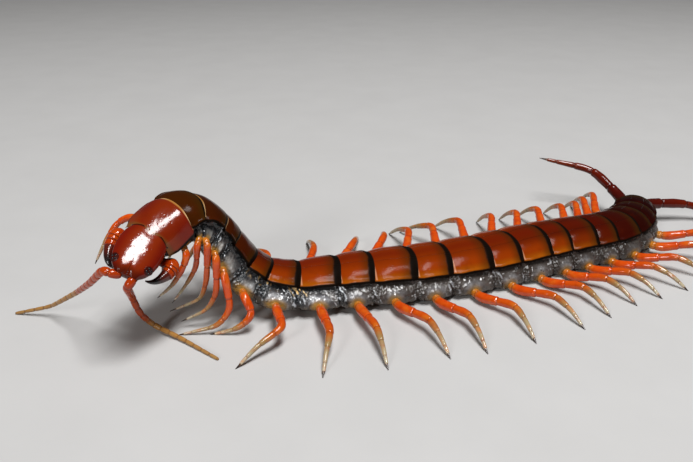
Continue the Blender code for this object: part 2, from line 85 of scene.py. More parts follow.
PLAN_SHIFT = (-4.0 * MM, -8.4 * MM)
BELLY_HEIGHT = -0.400
FLANK_ACROSS = 0.610
FLANK_HEIGHT = -0.290
SWELLING_AT = (0.0, 0.5, 1.8, 2.7, 9.2, 10.1)
SWELLING = (0.74, 0.82, 0.88, 1.00, 1.00, 0.84)  # how far the flanks stand out
DEPTH_AT = (0.0, 0.7, 1.2, 2.2, 2.8)
DEPTH = (0.95, 1.12, 1.30, 1.30, 1.00)  # how deep the flanks reach
LEG_AT = 0.45  # share of a segment at which its legs are rooted
LEG_ROOT_HALF = 0.02

# ---- the soft skin: half cross-section across and up, then how soft it is
SKIN_SECTION = (
    (0.0, 0.118, 0.0), (0.15, 0.110, 0.0), (0.29, 0.076, 0.0), (0.40, 0.012, 0.0),
    (0.452, -0.050, 0.2), (0.468, -0.092, 0.6), (0.535, -0.135, 1.0), (0.605, -0.215, 1.0),
    (0.618, -0.300, 1.0), (0.600, -0.352, 1.0), (0.510, -0.384, 1.0), (0.30, -0.394, 1.0),
    (0.0, -0.394, 1.0),
)
SKIN_SIDES = 124
SKIN_STEP = 0.0145  # between rings
SKIN_ROUNDING = 0.008
SKIN_CROWDING = 1.8  # how much closer together the points lie on the flanks
SKIN_CROWDED = 0.08  # share of the way round over which they do
SKIN_MIDDLE = -0.20  # height away from which the flank swells
FLANK_FROM = (0.40, 0.12)  # where the flank begins across, and over what width
HIP_LENGTH, HIP_HEIGHT, HIP_ACROSS, HIP_RAISED = 0.125, 0.105, 0.35, 0.038
LOBE_LENGTH, LOBE_HEIGHT, LOBE_DROP, LOBE_RAISED = 0.17, 0.085, 0.195, 0.030
PLEAT_RATE = 46.0  # radians of pleating in a body width
PLEAT_LEAN = 16.0
PLEAT_WANDER = 2.2
PLEAT_REACH = 0.15
PLEAT_RAISED = 0.020
BORDER_DEPTH, BORDER_HALF = 0.040, 0.040  # the crease at a border between segments
CREASE_DEPTH, CREASE_HALF, CREASE_AT = 0.012, 0.06, 0.80  # and the one before it
ROUGH_RAISED, FINE_RAISED = 0.012, 0.009
SKIN_END_RINGS = 6
SKIN_END_REACH = (1.0 * MM, 0.9 * MM)

# ---- back plates
PLATE_TOP = 0.155
PLATE_DROP = 0.205
PLATE_HALF = 0.49
SECOND_PLATE_REACH = 0.07  # how far the second plate lies over the first segment
SHIELD_FLANGE = 0.12  # how much lower the first plate reaches at its sides
SHIELD_FLARE = 0.09  # how much wider it grows there towards its front
PLATE_THICKNESS = 0.013
PLATE_ROWS = 44
PLATE_COLUMNS = 61
PLATE_CROWDING = 0.35  # how much closer together the columns lie at the rims
PLATE_TUCK = (0.03, 0.08)  # reach under the plate before, and its largest share of a plate
PLATE_LAP = (0.030, 0.09)  # reach over the plate behind, the same way
PLATE_LIFT = (0.004, 0.036, -0.021)  # height in front, gained along the plate, and of the lip
PLATE_CORNERS = (0.095, 0.085)  # how much narrower the front and rear edges are
PLATE_BOW = 0.060
PLATE_BEAD = (0.012, 0.955, 0.028)  # height, place across and half width
PLATE_HOLLOW = (-0.006, 0.86, 0.06)

# ---- belly plates
BELLY_PLATE_ROWS = 26
BELLY_PLATE_COLUMNS = 33
BELLY_PLATE_HALF = 0.40
BELLY_PLATE_SPAN = (0.06, 0.90)  # share of the segment where it starts, and its length
BELLY_PLATE_CORNERS = 0.12
BELLY_PLATE_PROUD = 0.012
BELLY_PLATE_EDGE = 0.016
BELLY_PLATE_THICKNESS = 0.02

# ---- legs
LEG_PROFILE = (
    (0.0, 0.066), (0.05, 0.072), (0.15, 0.080), (0.30, 0.070), (0.33, 0.062), (0.42, 0.068),
    (0.52, 0.056), (0.62, 0.052), (0.72, 0.038), (0.86, 0.030), (0.93, 0.024), (1.0, 0.014),
)
LEG_JOINTS = (0.055, 0.315, 0.535, 0.700, 0.860)
LEG_LENGTH_AT = (1, 4, 8, 18, 20)
LEG_LENGTH = (1.00, 1.25, 1.62, 1.55, 1.60)
# how far foot and knee point tailward, in degrees, for each leg up to the twentieth
LEFT_SWEEP = (-30, -8, 2, 14, 8, 8, 12, 12, 20, 24, 30, 26, 18, 10)
RIGHT_SWEEP = (
    -35, -30, -40, -30, -35, -25, -10, 10, 25, 20, 5, -5, 5, 20, 15, 8, 12, 24, 36, 52,
)
LEFT_KNEE_SWEEP = (6, 2, 6, 22, 18, 22, 24, 26, 30, 32, 34, 30, 22, 12)
RIGHT_KNEE_SWEEP = (
    -10, 0, -10, 0, -5, 5, 10, 20, 30, 28, 20, 15, 18, 28, 25, 18, 20, 28, 36, 54,
)
FOOT_HEIGHT = {1: 12.5 * MM, 2: 9.0 * MM, 3: 6.0 * MM, 4: 4.0 * MM}
KNEE_LIFT_AT = (1, 4, 6, 8, 20)
LEFT_KNEE_LIFT = (0.0, 0.0, 0.0, 0.04, 0.09)
RIGHT_KNEE_LIFT = (-0.08, -0.04, 0.06, 0.08, 0.09)
KNEE_AT = 0.52
HIP_AT = 0.09
REACH_AT = (1, 5, 6, 7, 8, 13, 15, 18, 20)
REACH = (0.88, 0.88, 0.70, 0.84, 0.92, 0.92, 0.82, 0.82, 0.88)
LEG_SOFTNESS = 1.2 * MM
ANKLE_AT = 0.55  # of the way from knee to foot
ANKLE_LIFT = 0.04
LEAST_REACH = 0.3
FLAT_FOOT = -0.06 * MM
SMALL_LEG_AT = (1, 2, 5, 8)
SMALL_LEG = (0.68, 0.64, 0.76, 1.0)
NECK_LEGS = {
    1: ((-39.0, -16.2, 13.0), (-41.0, -16.6, 9.8), (-43.8, -16.6, 7.4)),
    2: ((-37.5, -13.3, 11.5), (-39.4, -14.1, 8.5), (-42.1, -14.2, 5.0)),
    3: ((-35.9, -13.5, 9.2), (-37.3, -12.8, 5.0), (-43.0, -12.9, 2.6)),
    4: ((-34.2, -14.3, 7.0), (-36.0, -14.3, 3.7), (-40.8, -14.2, 1.3)),
    5: ((-31.7, -15.5, 4.6), (-34.0, -16.2, 1.6), (-41.2, -16.6, -0.06)),
    6: ((-27.8, -15.8, 3.6), (-30.6, -16.5, 1.2), (-35.5, -16.4, -0.06)),
}
NECK_LEG_STRAIGHT = 1.2 * MM
LEG_ROOTED = 0.7 * MM  # how deep a leg starts in the flank
LEG_SIDES = 20
LEG_RINGS = 150
LEG_BLEND = 0.04  # share of a leg that leaves its root straight
LEG_END_RINGS = 3
LEG_END_REACH = 0.1 * MM
CLAW_AT = 0.935
CLAW_OVERLAP = 0.012
CLAW_RINGS = 16
CLAW_THICKNESS = (0.84, 0.55)
PROFILE_SOFTNESS = 0.010
JOINT_PINCH, JOINT_PINCH_HALF = 0.13, 0.008
JOINT_COLLAR, JOINT_COLLAR_HALF, JOINT_COLLAR_BEFORE = 0.045, 0.016, 0.024
JOINT_NEAR = 0.011

LAST_LEG_LENGTH = 2.2
LAST_LEG_SHARES = (0.12, 0.38, 0.48)  # hip, thigh and shin
LAST_LEG_ROOT = (0.26, -0.13)
LAST_LEG_SPREAD = {1.0: (-68.0, -80.0), -1.0: (48.0, 92.0)}
LAST_LEG_LIFT = {1.0: (-0.01, -0.14), -1.0: (0.17, 0.24)}
LAST_LEG_PROFILE = (
    (0.0, 0.092), (0.04, 0.100), (0.14, 0.108), (0.27, 0.098), (0.30, 0.086), (0.40, 0.094),
    (0.50, 0.080), (0.53, 0.070), (0.64, 0.072), (0.72, 0.056), (0.82, 0.046), (0.93, 0.032),
    (1.0, 0.014),
)
LAST_LEG_JOINTS = (0.285, 0.515, 0.690, 0.850)
LAST_LEG_SOFTNESS = 2.2 * MM
LAST_LEG_ROOTED = 1.2 * MM
LAST_CLAW_AT = 0.93

# ---- head
HEAD_WIDTH = 7.7 * MM
HEAD_LENGTH = 8.0 * MM
HEAD_TURN = math.radians(12.0)
HEAD_TURN_OVER = 3.0 * MM
HEAD_PROFILE = (  # share of the length, half width, crown and underside in head widths
    (0.0, 0.430, 0.172, -0.200), (0.10, 0.475, 0.178, -0.215), (0.30, 0.500, 0.183, -0.220),
    (0.55, 0.490, 0.180, -0.215), (0.75, 0.440, 0.163, -0.200), (0.88, 0.370, 0.130, -0.175),
    (0.96, 0.290, 0.088, -0.145), (1.0, 0.225, 0.050, -0.115),
)
HEAD_SOFTNESS = 0.035
RIM_POWER = 0.80
HEAD_ROWS = 90
HEAD_SIDES = 96
HEAD_END_RINGS = 6
HEAD_END_REACH = (-0.5 * MM, 0.35 * MM)
HEAD_DRAWN_IN = 0.030  # the capsule's upper half under its plate
HEAD_PLATE_ROWS = 70
HEAD_PLATE_COLUMNS = 81
HEAD_PLATE_FROM = -0.035
HEAD_PLATE_DOWN_TO = 6.0  # degrees from the rim
HEAD_PLATE_INSET = 0.955
HEAD_PLATE_THICKNESS = 0.22 * MM
HEAD_BEAD = (0.006, 0.985, 0.02)  # height, place across and half width
HEAD_FURROW = (-0.010, 0.0, 0.05)
HEAD_LOBES = (0.30 * MM, 1.25 * MM, 0.75 * MM)
HEAD_NOTCH = (0.9, 0.5 * MM)  # between the lobes: depth as a share of theirs, and half width
HEAD_REAR = (0.30 * MM, 0.75 * MM)  # shift of the rear edge, and less at its middle
JAW_BASE_LENGTH = 5.6 * MM
JAW_BASE_TOP = -2.45 * MM
JAW_BASE_BOTTOM = -4.10 * MM
JAW_BASE_MIDDLE = 0.5 * (JAW_BASE_TOP + JAW_BASE_BOTTOM)
JAW_BASE_PROFILE = ((0.0, 3.3), (0.25, 3.5), (0.60, 3.2), (0.82, 2.4), (1.0, 1.5))
JAW_BASE_SOFTNESS = 0.05
JAW_BASE_POWER = 0.45
JAW_BASE_ROWS = 44
JAW_BASE_SIDES = 64
JAW_BASE_END_RINGS = 5
JAW_BASE_END_REACH = 0.3 * MM
JAW_GROOVE_DEPTH, JAW_GROOVE_HALF, JAW_GROOVE_DARK = 0.14 * MM, 0.25 * MM, 0.2 * MM
JAW_COLOURS = 0.35  # how far along the fangs' colours its own reach
FANG_ROOT_AT = 1.2 * MM
FANG_ROOTED = 0.6 * MM
FANG_PROFILE = (
    (0.0, 0.80), (0.10, 1.00), (0.24, 1.28), (0.42, 1.24), (0.48, 1.14), (0.58, 1.10),
    (0.64, 0.92), (0.76, 0.66), (0.88, 0.40), (1.0, 0.12),
)
FANG_CONTROLS = (
    (4.9, 1.2, -3.3), (5.9, -1.2, -3.3), (5.3, 4.0, -3.3), (4.6, 5.9, -3.4), (2.6, 5.9, -3.5),
)
FANG_CLAW_AT = 0.60
FANG_JOINTS = (0.425, 0.505, FANG_CLAW_AT)
FANG_RINGS = 110
FANG_SIDES = 28
FANG_CLAW_OVERLAP = 0.01
FANG_CLAW_END_RINGS = 3
FANG_CLAW_END_REACH = 0.05 * MM
EYE_PLACE = (2.85 * MM, 6.3 * MM)
EYE_RADIUS = 0.75 * MM
EYE_RISE, EYE_LIFT, EYE_ROOTED = 0.10 * MM, 0.02 * MM, 0.7 * MM
EYE_RINGS = 34
EYE_SIDES = 56
OCELLI = ((0.38, 0.30), (-0.38, 0.34), (0.36, -0.34), (-0.36, -0.32))
OCELLUS_RADIUS = 0.25
OCELLUS_RISE = 0.13 * MM
FEELER_ROOT = (1.20 * MM, -0.25 * MM)
FEELER_ARTICLES = 18
ARTICLE_RINGS = 12
FEELER_SIDES = 18
FEELER_RADIUS = (0.74 * MM, 0.27 * MM)
FEELER_SOFTNESS = 1.3 * MM
FEELER_ROOTED = 0.7 * MM
FEELER_BLEND = 0.03
FEELER_LEAVING = 20.0 * MM  # how fast it leaves its root straight forward
FEELER_END_RINGS = 4
FEELER_END_REACH = 0.15 * MM
ARTICLE_SWELL, ARTICLE_PINCH, ARTICLE_RING = 0.05, 0.14, 0.10
LEFT_FEELER = (
    (-47.5, -18.6, 9.0), (-46.9, -17.6, 5.0), (-45.5, -15.2, 1.2), (-40.0, -18.4, 0.45),
    (-32.9, -24.1, 0.2),
)
RIGHT_FEELER = (
    (-49.0, -24.6, 17.2), (-53.4, -20.2, 12.2), (-58.0, -15.1, 7.6), (-65.0, -10.6, 2.2),
    (-72.0, -9.6, 0.2),
)
FEELER_STRAIGHT = {1.0: 1.5 * MM, -1.0: 0.8 * MM}

# ---- floor, light and the photograph's camera
FLOOR_REACH = 3.0
LIT_PLACE = (-0.01, 0.0, 0.01)
LIGHTS = (  # name, place, direction of the longer side, both sides and power
    ("key", (0.090, -0.165, 0.70), (0.33, 0.94, 0.0), (0.15, 0.42), 6.6),
    ("fill", (-0.45, -0.75, 0.42), (0.0, 0.0, 1.0), (0.14, 0.30), 2.8),
)
SKY_COLOUR = (0.93, 0.89, 0.84, 1.0)
SKY_STRENGTH = 0.07
CAMERA_TARGET = (-15.8 * MM, -8.4 * MM, 12.3 * MM)
CAMERA_ELEVATION = math.radians(24.5)
CAMERA_DISTANCE = 135.0 * MM
CAMERA_NEAREST = 0.001
SENSOR_WIDTH = 36.0
PHOTO_WIDTH, FOCAL_LENGTH = 693.0, 720.0  # in the photograph's own dots


# ---- vectors, paths and the spine


def unit(vectors):
    """Vectors divided by their lengths."""
    return vectors / np.linalg.norm(vectors, axis=-1, keepdims=True)


def bell(distance):
    """One at zero, falling off as a bell curve."""
    return np.exp(-(np.asarray(distance) ** 2))


def eased(value, low, high):
    """Zero below low, one above high, and a smooth S between them."""
    share = np.clip((np.asarray(value) - low) / (high - low), 0.0, 1.0)
    return share * share * (3.0 - 2.0 * share)


def bell_weights(count):
    """Evenly spread offsets from -2 to 2, and the shares of a bell curve that weigh them."""
    offsets = np.linspace(-2.0, 2.0, count)
    weights = np.exp(-0.5 * offsets**2)
    return offsets, weights / weights.sum()


def softened(distances, stations, values, spread):
    """A broken line through the stations, averaged over the spread with a bell-shaped weight."""
    offsets, weights = bell_weights(17)
    places = np.asarray(distances)[..., None] + offsets * spread
    return np.interp(places, stations, values) @ weights


def spine_table():
    """The spine sampled evenly: distance, centre, tailward, left and dorsal directions.

    Heading and climb aim the tailward direction, roll turns the other two round it, and the
    centre is the running sum of the tailward steps.
    """
    stations, heading, climb, roll = np.array(SPINE).T
    distances = np.linspace(0.0, sum(SEGMENT_LENGTHS), SPINE_STEPS)
    heading, climb, roll = [
        np.radians(softened(distances, stations, values, SPINE_SOFTNESS))
        for values in (heading, climb, roll)
    ]
    tailward = np.stack(
        [np.cos(climb) * np.cos(heading), np.cos(climb) * np.sin(heading), np.sin(climb)], axis=1
    )
    level_left = np.stack([np.sin(heading), -np.cos(heading), 0.0 * heading], axis=1)
    level_up = np.cross(level_left, tailward)
    left = level_left * np.cos(roll)[:, None] + level_up * np.sin(roll)[:, None]
    dorsal = level_up * np.cos(roll)[:, None] - level_left * np.sin(roll)[:, None]
    step = (distances[1] - distances[0]) * WIDTH
    centre = np.zeros_like(tailward)
    centre[1:] = np.cumsum(0.5 * (tailward[1:] + tailward[:-1]) * step, axis=0)
    anchor = np.searchsorted(distances, sum(SEGMENT_LENGTHS[:ANCHOR_SEGMENT]))
    centre += np.array([*PLAN_SHIFT, BELLY_CLEARANCE - BELLY_HEIGHT * WIDTH]) - centre[anchor]
    return distances, centre, tailward, left, dorsal


SPINE_TABLE = spine_table()
BODY_LENGTH = sum(SEGMENT_LENGTHS)
SEGMENTS = len(SEGMENT_LENGTHS)
LENGTHS = np.array(SEGMENT_LENGTHS)
STARTS = np.array([sum(SEGMENT_LENGTHS[:passed]) for passed in range(SEGMENTS + 1)])
PLATE_STARTS = STARTS - SECOND_PLATE_REACH * (np.arange(SEGMENTS + 1) == 1)


def at_shares(shares, stations, columns):
    """Points between the given points of a curve, found in a straight line between stations."""
    return np.stack([np.interp(shares, stations, columns[:, axis]) for axis in range(3)], axis=-1)


def spine_at(distance):
    """Centre, tailward, left and dorsal directions; the spine runs straight on past its ends."""
    distances, *columns = SPINE_TABLE
    centre, *directions = (at_shares(distance, distances, column) for column in columns)
    tailward, left, dorsal = (unit(direction) for direction in directions)
    beyond = np.asarray(distance) - np.clip(distance, 0.0, BODY_LENGTH)
    return centre + WIDTH * beyond[..., None] * tailward, tailward, left, dorsal


def spine_end(distance):
    """The spine's centre and directions at one distance alone."""
    return (column[0] for column in spine_at(np.array([distance])))


def breadth_at(distance):
    """The body's breadth in metres: its breadths at the stations, softened."""
    return WIDTH * softened(distance, BREADTH_AT, BREADTH, SPINE_SOFTNESS)


def swelling_at(distance):
    """How far the flanks stand out across, softened between the stations."""
    return softened(distance, SWELLING_AT, SWELLING, SPINE_SOFTNESS)


def depth_at(distance):
    """How deep the flanks reach, softened between the stations."""
    return softened(distance, DEPTH_AT, DEPTH, SPINE_SOFTNESS)


def leg_distance(number):
    """Distance along the spine at which a segment's legs are rooted."""
    return STARTS[number - 1] + LEG_AT * LENGTHS[number - 1]


def segment_place(distance):
    """Segment number from 1 to the last, and the share of the way along it."""
    number = np.clip(np.searchsorted(STARTS, distance, side="right"), 1, SEGMENTS)
    return number, (distance - STARTS[number - 1]) / LENGTHS[number - 1]


def on_body(distance, across, up):
    """World points: the spine's centre, and across to the left and up in local body widths."""
    centre, _, left, dorsal = spine_at(distance)
    breadth = breadth_at(distance)[..., None]
    offset = np.asarray(across)[..., None] * left + np.asarray(up)[..., None] * dorsal
    return centre + breadth * offset


def path_through(places, softness, shares):
    """Points and tangents at shares of a broken line through the places, its corners rounded.

    The line is drawn straight on past both its ends, so that softening leaves them in place.
    """
    places = np.array(places)
    spans = np.linalg.norm(np.diff(places, axis=0), axis=1)
    stations = np.concatenate([[0.0], np.cumsum(spans)])
    beyond = PATH_BEYOND * softness
    first = places[0] - beyond * unit(places[1] - places[0])
    last = places[-1] + beyond * unit(places[-1] - places[-2])
    places = np.concatenate([[first], places, [last]])
    reached = np.concatenate([[-beyond], stations, [stations[-1] + beyond]])
    distances = np.asarray(shares) * stations[-1]
    points = [softened(distances, reached, column, softness) for column in places.T]
    points = np.stack(points, axis=1)
    return points, unit(np.gradient(points, distances, axis=0))


def bernstein(controls, t):
    """The sum of the controls, each weighed by its binomial share of t and 1 - t."""
    degree = len(controls) - 1
    order = np.arange(degree + 1)
    count = np.array([math.comb(degree, k) for k in order])
    return (count * t**order * (1.0 - t) ** (degree - order)) @ controls


def bezier(controls, steps):
    """Points of the Bezier curve through the control polygon, and its unit tangents."""
    controls = np.array(controls)
    t = np.asarray(steps)[:, None]
    return bernstein(controls, t), unit(bernstein(np.diff(controls, axis=0), t))


def carried(points, tangents, radii, sides, across):
    """A circle of the given radii carried along a path: rings of points around each place."""
    in_plane = unit(np.cross(across, tangents))[:, None]
    sideways = np.cross(tangents, in_plane[:, 0])[:, None]
    turn = (2.0 * math.pi * np.arange(sides) / sides)[None, :, None]
    circle = np.cos(turn) * in_plane + np.sin(turn) * sideways
    return points[:, None] + np.asarray(radii)[:, None, None] * circle


# ---- meshes


def make_piece(name, points, faces, finish, nodes, marks):
    """A finished piece: its faces turned outward, its marks stored as point attributes."""
    mesh = bpy.data.meshes.new(name)
    mesh.from_pydata(points.reshape(-1, 3).tolist(), [], faces)
    for mark, values in marks.items():
        stored = mesh.attributes.new(mark, "FLOAT_VECTOR", "POINT")
        stored.data.foreach_set("vector", np.asarray(values, dtype=np.float32).reshape(-1))
    work = bmesh.new()
    work.from_mesh(mesh)
    bmesh.ops.recalc_face_normals(work, faces=work.faces)
    work.to_mesh(mesh)
    work.free()
    mesh.shade_smooth()
    mesh.set_sharp_from_angle(angle=SHARP_ANGLE)
    mesh.materials.append(finish)
    piece = bpy.data.objects.new(name, mesh)
    bpy.context.scene.collection.objects.link(piece)
    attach(piece, "root")
    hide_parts(*nodes)


def tube_faces(rows, columns):
    """Quads between neighbouring rings, and a cap on each end."""
    row = np.arange(rows - 1)[:, None] * columns
    side = np.arange(columns)[None, :]
    following = (side + 1) % columns
    corners = [row + side, row + following, row + columns + following, row + columns + side]
    faces = np.stack(corners, axis=-1).reshape(-1, 4).tolist()
    faces.append(list(range(columns)))
    faces.append(list(range((rows - 1) * columns, rows * columns)))
    return faces


def sheet_faces(rows, columns):
    """Quads of an upper and a lower grid of the same size, joined all round their edges."""
    row = np.arange(rows - 1)[:, None] * columns
    side = np.arange(columns - 1)[None, :]
    first = row + side
    upper = np.stack([first, first + 1, first + columns + 1, first + columns], axis=-1)
    upper = upper.reshape(-1, 4)
    lower = upper[:, ::-1] + rows * columns
    ahead = np.arange(columns)
    rim = np.concatenate([
        ahead,
        np.arange(1, rows) * columns + columns - 1,
        (rows - 1) * columns + ahead[-2::-1],
        np.arange(rows - 2, 0, -1) * columns,
    ])
    after = np.roll(rim, -1)
    wall = np.stack([rim, rim + rows * columns, after + rows * columns, after], axis=-1)
    return np.concatenate([upper, lower, wall]).tolist()


def round_ends(rings, reach_first, reach_last, steps):
    """Rings with a dome at each end whose reach is given, as a vector from the end's middle.

    A dome's rings shrink with the cosine of a quarter turn and move out with its sine.
    """
    turn = np.linspace(0.0, 0.5 * math.pi, steps + 1)[1:, None, None]
    grown = [rings]
    for end, reach in ((0, reach_first), (-1, reach_last)):
        if reach is None:
            continue
        middle = rings[end].mean(axis=0)
        shrunk = np.maximum(np.cos(turn), 0.02) * (rings[end] - middle)
        dome = middle + shrunk + np.sin(turn) * np.asarray(reach)
        grown = [*grown, dome] if end else [dome[::-1], *grown]
    return np.concatenate(grown)


def marked(*columns):
    """Three marks a point as one array; a mark that isn't given is zero."""
    columns = [*columns, *[0.0] * (3 - len(columns))]
    return np.stack(np.broadcast_arrays(*columns), axis=-1)


def ring_marks(sides, *columns):
    """Marks that are given once for each ring and are the same all round it."""
    return marked(*columns)[:, None].repeat(sides, axis=1)


def with_ends(marks, first, last):
    """Marks of rings with so many more rings at each end, which take over the end's marks."""
    ahead, behind = marks[:1].repeat(first, axis=0), marks[-1:].repeat(last, axis=0)
    return np.concatenate([ahead, marks, behind])


def thick_sheet(name, upper, down, finish, nodes, marks):
    """A closed plate: an upper grid of points and the same grid moved by the down vectors."""
    rows, columns = upper.shape[:2]
    points = np.concatenate([upper.reshape(-1, 3), (upper + down).reshape(-1, 3)])
    stored = {mark: np.concatenate([values.reshape(-1, 3)] * 2) for mark, values in marks.items()}
    make_piece(name, points, sheet_faces(rows, columns), finish, nodes, stored)


def tube(name, rings, finish, nodes, marks):
    """A closed piece through the rings, an array of ring, point and axis."""
    make_piece(name, rings, tube_faces(*rings.shape[:2]), finish, nodes, marks)


def soft_noise(along, around, cells_along, cells_around, seed):
    """Smooth random heights from -1 to 1, eased between the points of a lattice.

    Along and around run from 0 to 1, and around is closed.
    """
    size = (cells_along + 2, cells_around)
    lattice = np.random.default_rng(seed).uniform(-1.0, 1.0, size)
    u = along * cells_along
    v = around * cells_around
    low_u = np.clip(np.floor(u).astype(int), 0, cells_along)
    low_v = np.floor(v).astype(int)
    share_u = eased(u - low_u, 0.0, 1.0)
    share_v = eased(v - low_v, 0.0, 1.0)
    first = low_v % cells_around
    second = (low_v + 1) % cells_around
    near = lattice[low_u, first] * (1.0 - share_v) + lattice[low_u, second] * share_v
    far = lattice[low_u + 1, first] * (1.0 - share_v) + lattice[low_u + 1, second] * share_v
    return near * (1.0 - share_u) + far * share_u


# ---- finishes


class Value:
    """One number that varies over a surface; arithmetic on it adds Math nodes."""

    def __init__(self, finish, socket):
        self.finish = finish
        self.socket = socket

    def __add__(self, other):
        return self.finish.maths("ADD", self, other)

    def __sub__(self, other):
        return self.finish.maths("SUBTRACT", self, other)

    def __rsub__(self, other):
        return self.finish.maths("SUBTRACT", other, self)

    def __mul__(self, other):
        return self.finish.maths("MULTIPLY", self, other)

    def __or__(self, other):
        """The larger of the two."""
        return self.finish.maths("MAXIMUM", self, other)

    def __abs__(self):
        return self.finish.maths("ABSOLUTE", self, 0.0)

    __radd__ = __add__
    __rmul__ = __mul__


class Finish:
    """A procedural material around one Principled shader."""

    def __init__(self, name, **constants):
        self.material = bpy.data.materials.new(name)
        self.material.use_nodes = True
        self.tree = self.material.node_tree
        self.shader = self.tree.nodes["Principled BSDF"]
        for key, value in constants.items():
            self.shader.inputs[key.replace("_", " ")].default_value = value
        self.place = self.node("ShaderNodeTexCoord").outputs["Object"]

    def node(self, kind, settings=None, sockets=None):
        """A node: its settings first, with a ramp's stops, then its sockets' values or links."""
        made = self.tree.nodes.new(kind)
        for key, value in (settings or {}).items():
            if key == "stops":
                ramp = made.color_ramp.elements
                while len(ramp) < len(value):
                    ramp.new(1.0)
                for element, (position, colour) in zip(ramp, value):
                    element.position = position
                    element.color = (*colour, 1.0)
            else:
                setattr(made, key, value)
        for key, value in (sockets or {}).items():
            self.join(made.inputs[key], value)
        return made

    def join(self, target, value):
        """Links a socket or a value to the target, or sets a plain number or colour on it."""
        if isinstance(value, Value):
            value = value.socket
        if isinstance(value, bpy.types.NodeSocket):
            self.tree.links.new(value, target)
        elif isinstance(value, tuple) and len(value) == 3 and target.type == "RGBA":
            target.default_value = (*value, 1.0)
        else:
            target.default_value = value

    def maths(self, operation, first, second):
        """A Math node's result."""
        settings = {"operation": operation}
        return Value(self, self.node("ShaderNodeMath", settings, {0: first, 1: second}).outputs[0])

    def marks(self, name):
        """The three numbers of a point attribute."""
        stored = self.node("ShaderNodeAttribute", {"attribute_name": name}).outputs["Vector"]
        split = self.node("ShaderNodeSeparateXYZ", None, {0: stored})
        return [Value(self, split.outputs[axis]) for axis in range(3)]

    def rise(self, value, low, high):
        """Zero at low, one at high, with a smooth S between them."""
        settings = {"interpolation_type": "SMOOTHSTEP"}
        sockets = {"Value": value, "From Min": low, "From Max": high}
        return Value(self, self.node("ShaderNodeMapRange", settings, sockets).outputs["Result"])

    def noise(self, scale, detail, roughness=0.55, stretch=None):
        """Cloudy noise from about 0 to 1, stretched along the axes if a stretch is given."""
        place = self.place
        if stretch:
            mapping = {"Vector": place, "Scale": stretch}
            place = self.node("ShaderNodeMapping", None, mapping).outputs[0]
        sockets = {"Vector": place, "Scale": scale, "Detail": detail, "Roughness": roughness}
        return Value(self, self.node("ShaderNodeTexNoise", None, sockets).outputs["Fac"])

    def cells(self, scale):
        """Distance to the nearest of many scattered points."""
        sockets = {"Vector": self.place, "Scale": scale}
        return Value(self, self.node("ShaderNodeTexVoronoi", None, sockets).outputs["Distance"])

    def mix(self, factor, first, second):
        """A colour between two colours."""
        made = self.node("ShaderNodeMix", {"data_type": "RGBA"}, {0: factor, 6: first, 7: second})
        return made.outputs[2]

    def layered(self, ground, *layers):
        """The ground with colours laid over it in turn, each as strongly as its share says."""
        for share, colour in layers:
            ground = self.mix(share, ground, colour)
        return ground

    def ramp(self, value, stops):
        """The colour at a value between the stops."""
        return self.node("ShaderNodeValToRGB", {"stops": stops}, {0: value}).outputs["Color"]

    def bump(self, height, distance):
        """The relief in metres: height times distance."""
        sockets = {"Height": height, "Distance": distance}
        relief = self.node("ShaderNodeBump", None, sockets).outputs["Normal"]
        self.join(self.shader.inputs["Normal"], relief)

    def done(self, colour, roughness=None):
        """The material with its colour and, if one is given, its roughness joined on."""
        self.join(self.shader.inputs["Base Color"], colour)
        if roughness is not None:
            self.join(self.shader.inputs["Roughness"], roughness)
        return self.material


PLATE_COLOURS = (  # share of the body's length, and the ground colour there
    (0.0, (0.135, 0.007, 0.001)), (0.045, (0.135, 0.007, 0.001)), (0.055, (0.040, 0.010, 0.001)),
    (0.10, (0.036, 0.007, 0.001)), (0.20, (0.040, 0.007, 0.001)), (0.27, (0.066, 0.007, 0.001)),
    (0.31, (0.120, 0.012, 0.001)), (0.36, (0.160, 0.016, 0.001)), (0.52, (0.165, 0.020, 0.001)),
    (0.60, (0.120, 0.012, 0.001)), (0.70, (0.070, 0.006, 0.001)), (0.80, (0.046, 0.003, 0.001)),
    (0.86, (0.018, 0.002, 0.001)), (1.0, (0.011, 0.001, 0.001)),
)


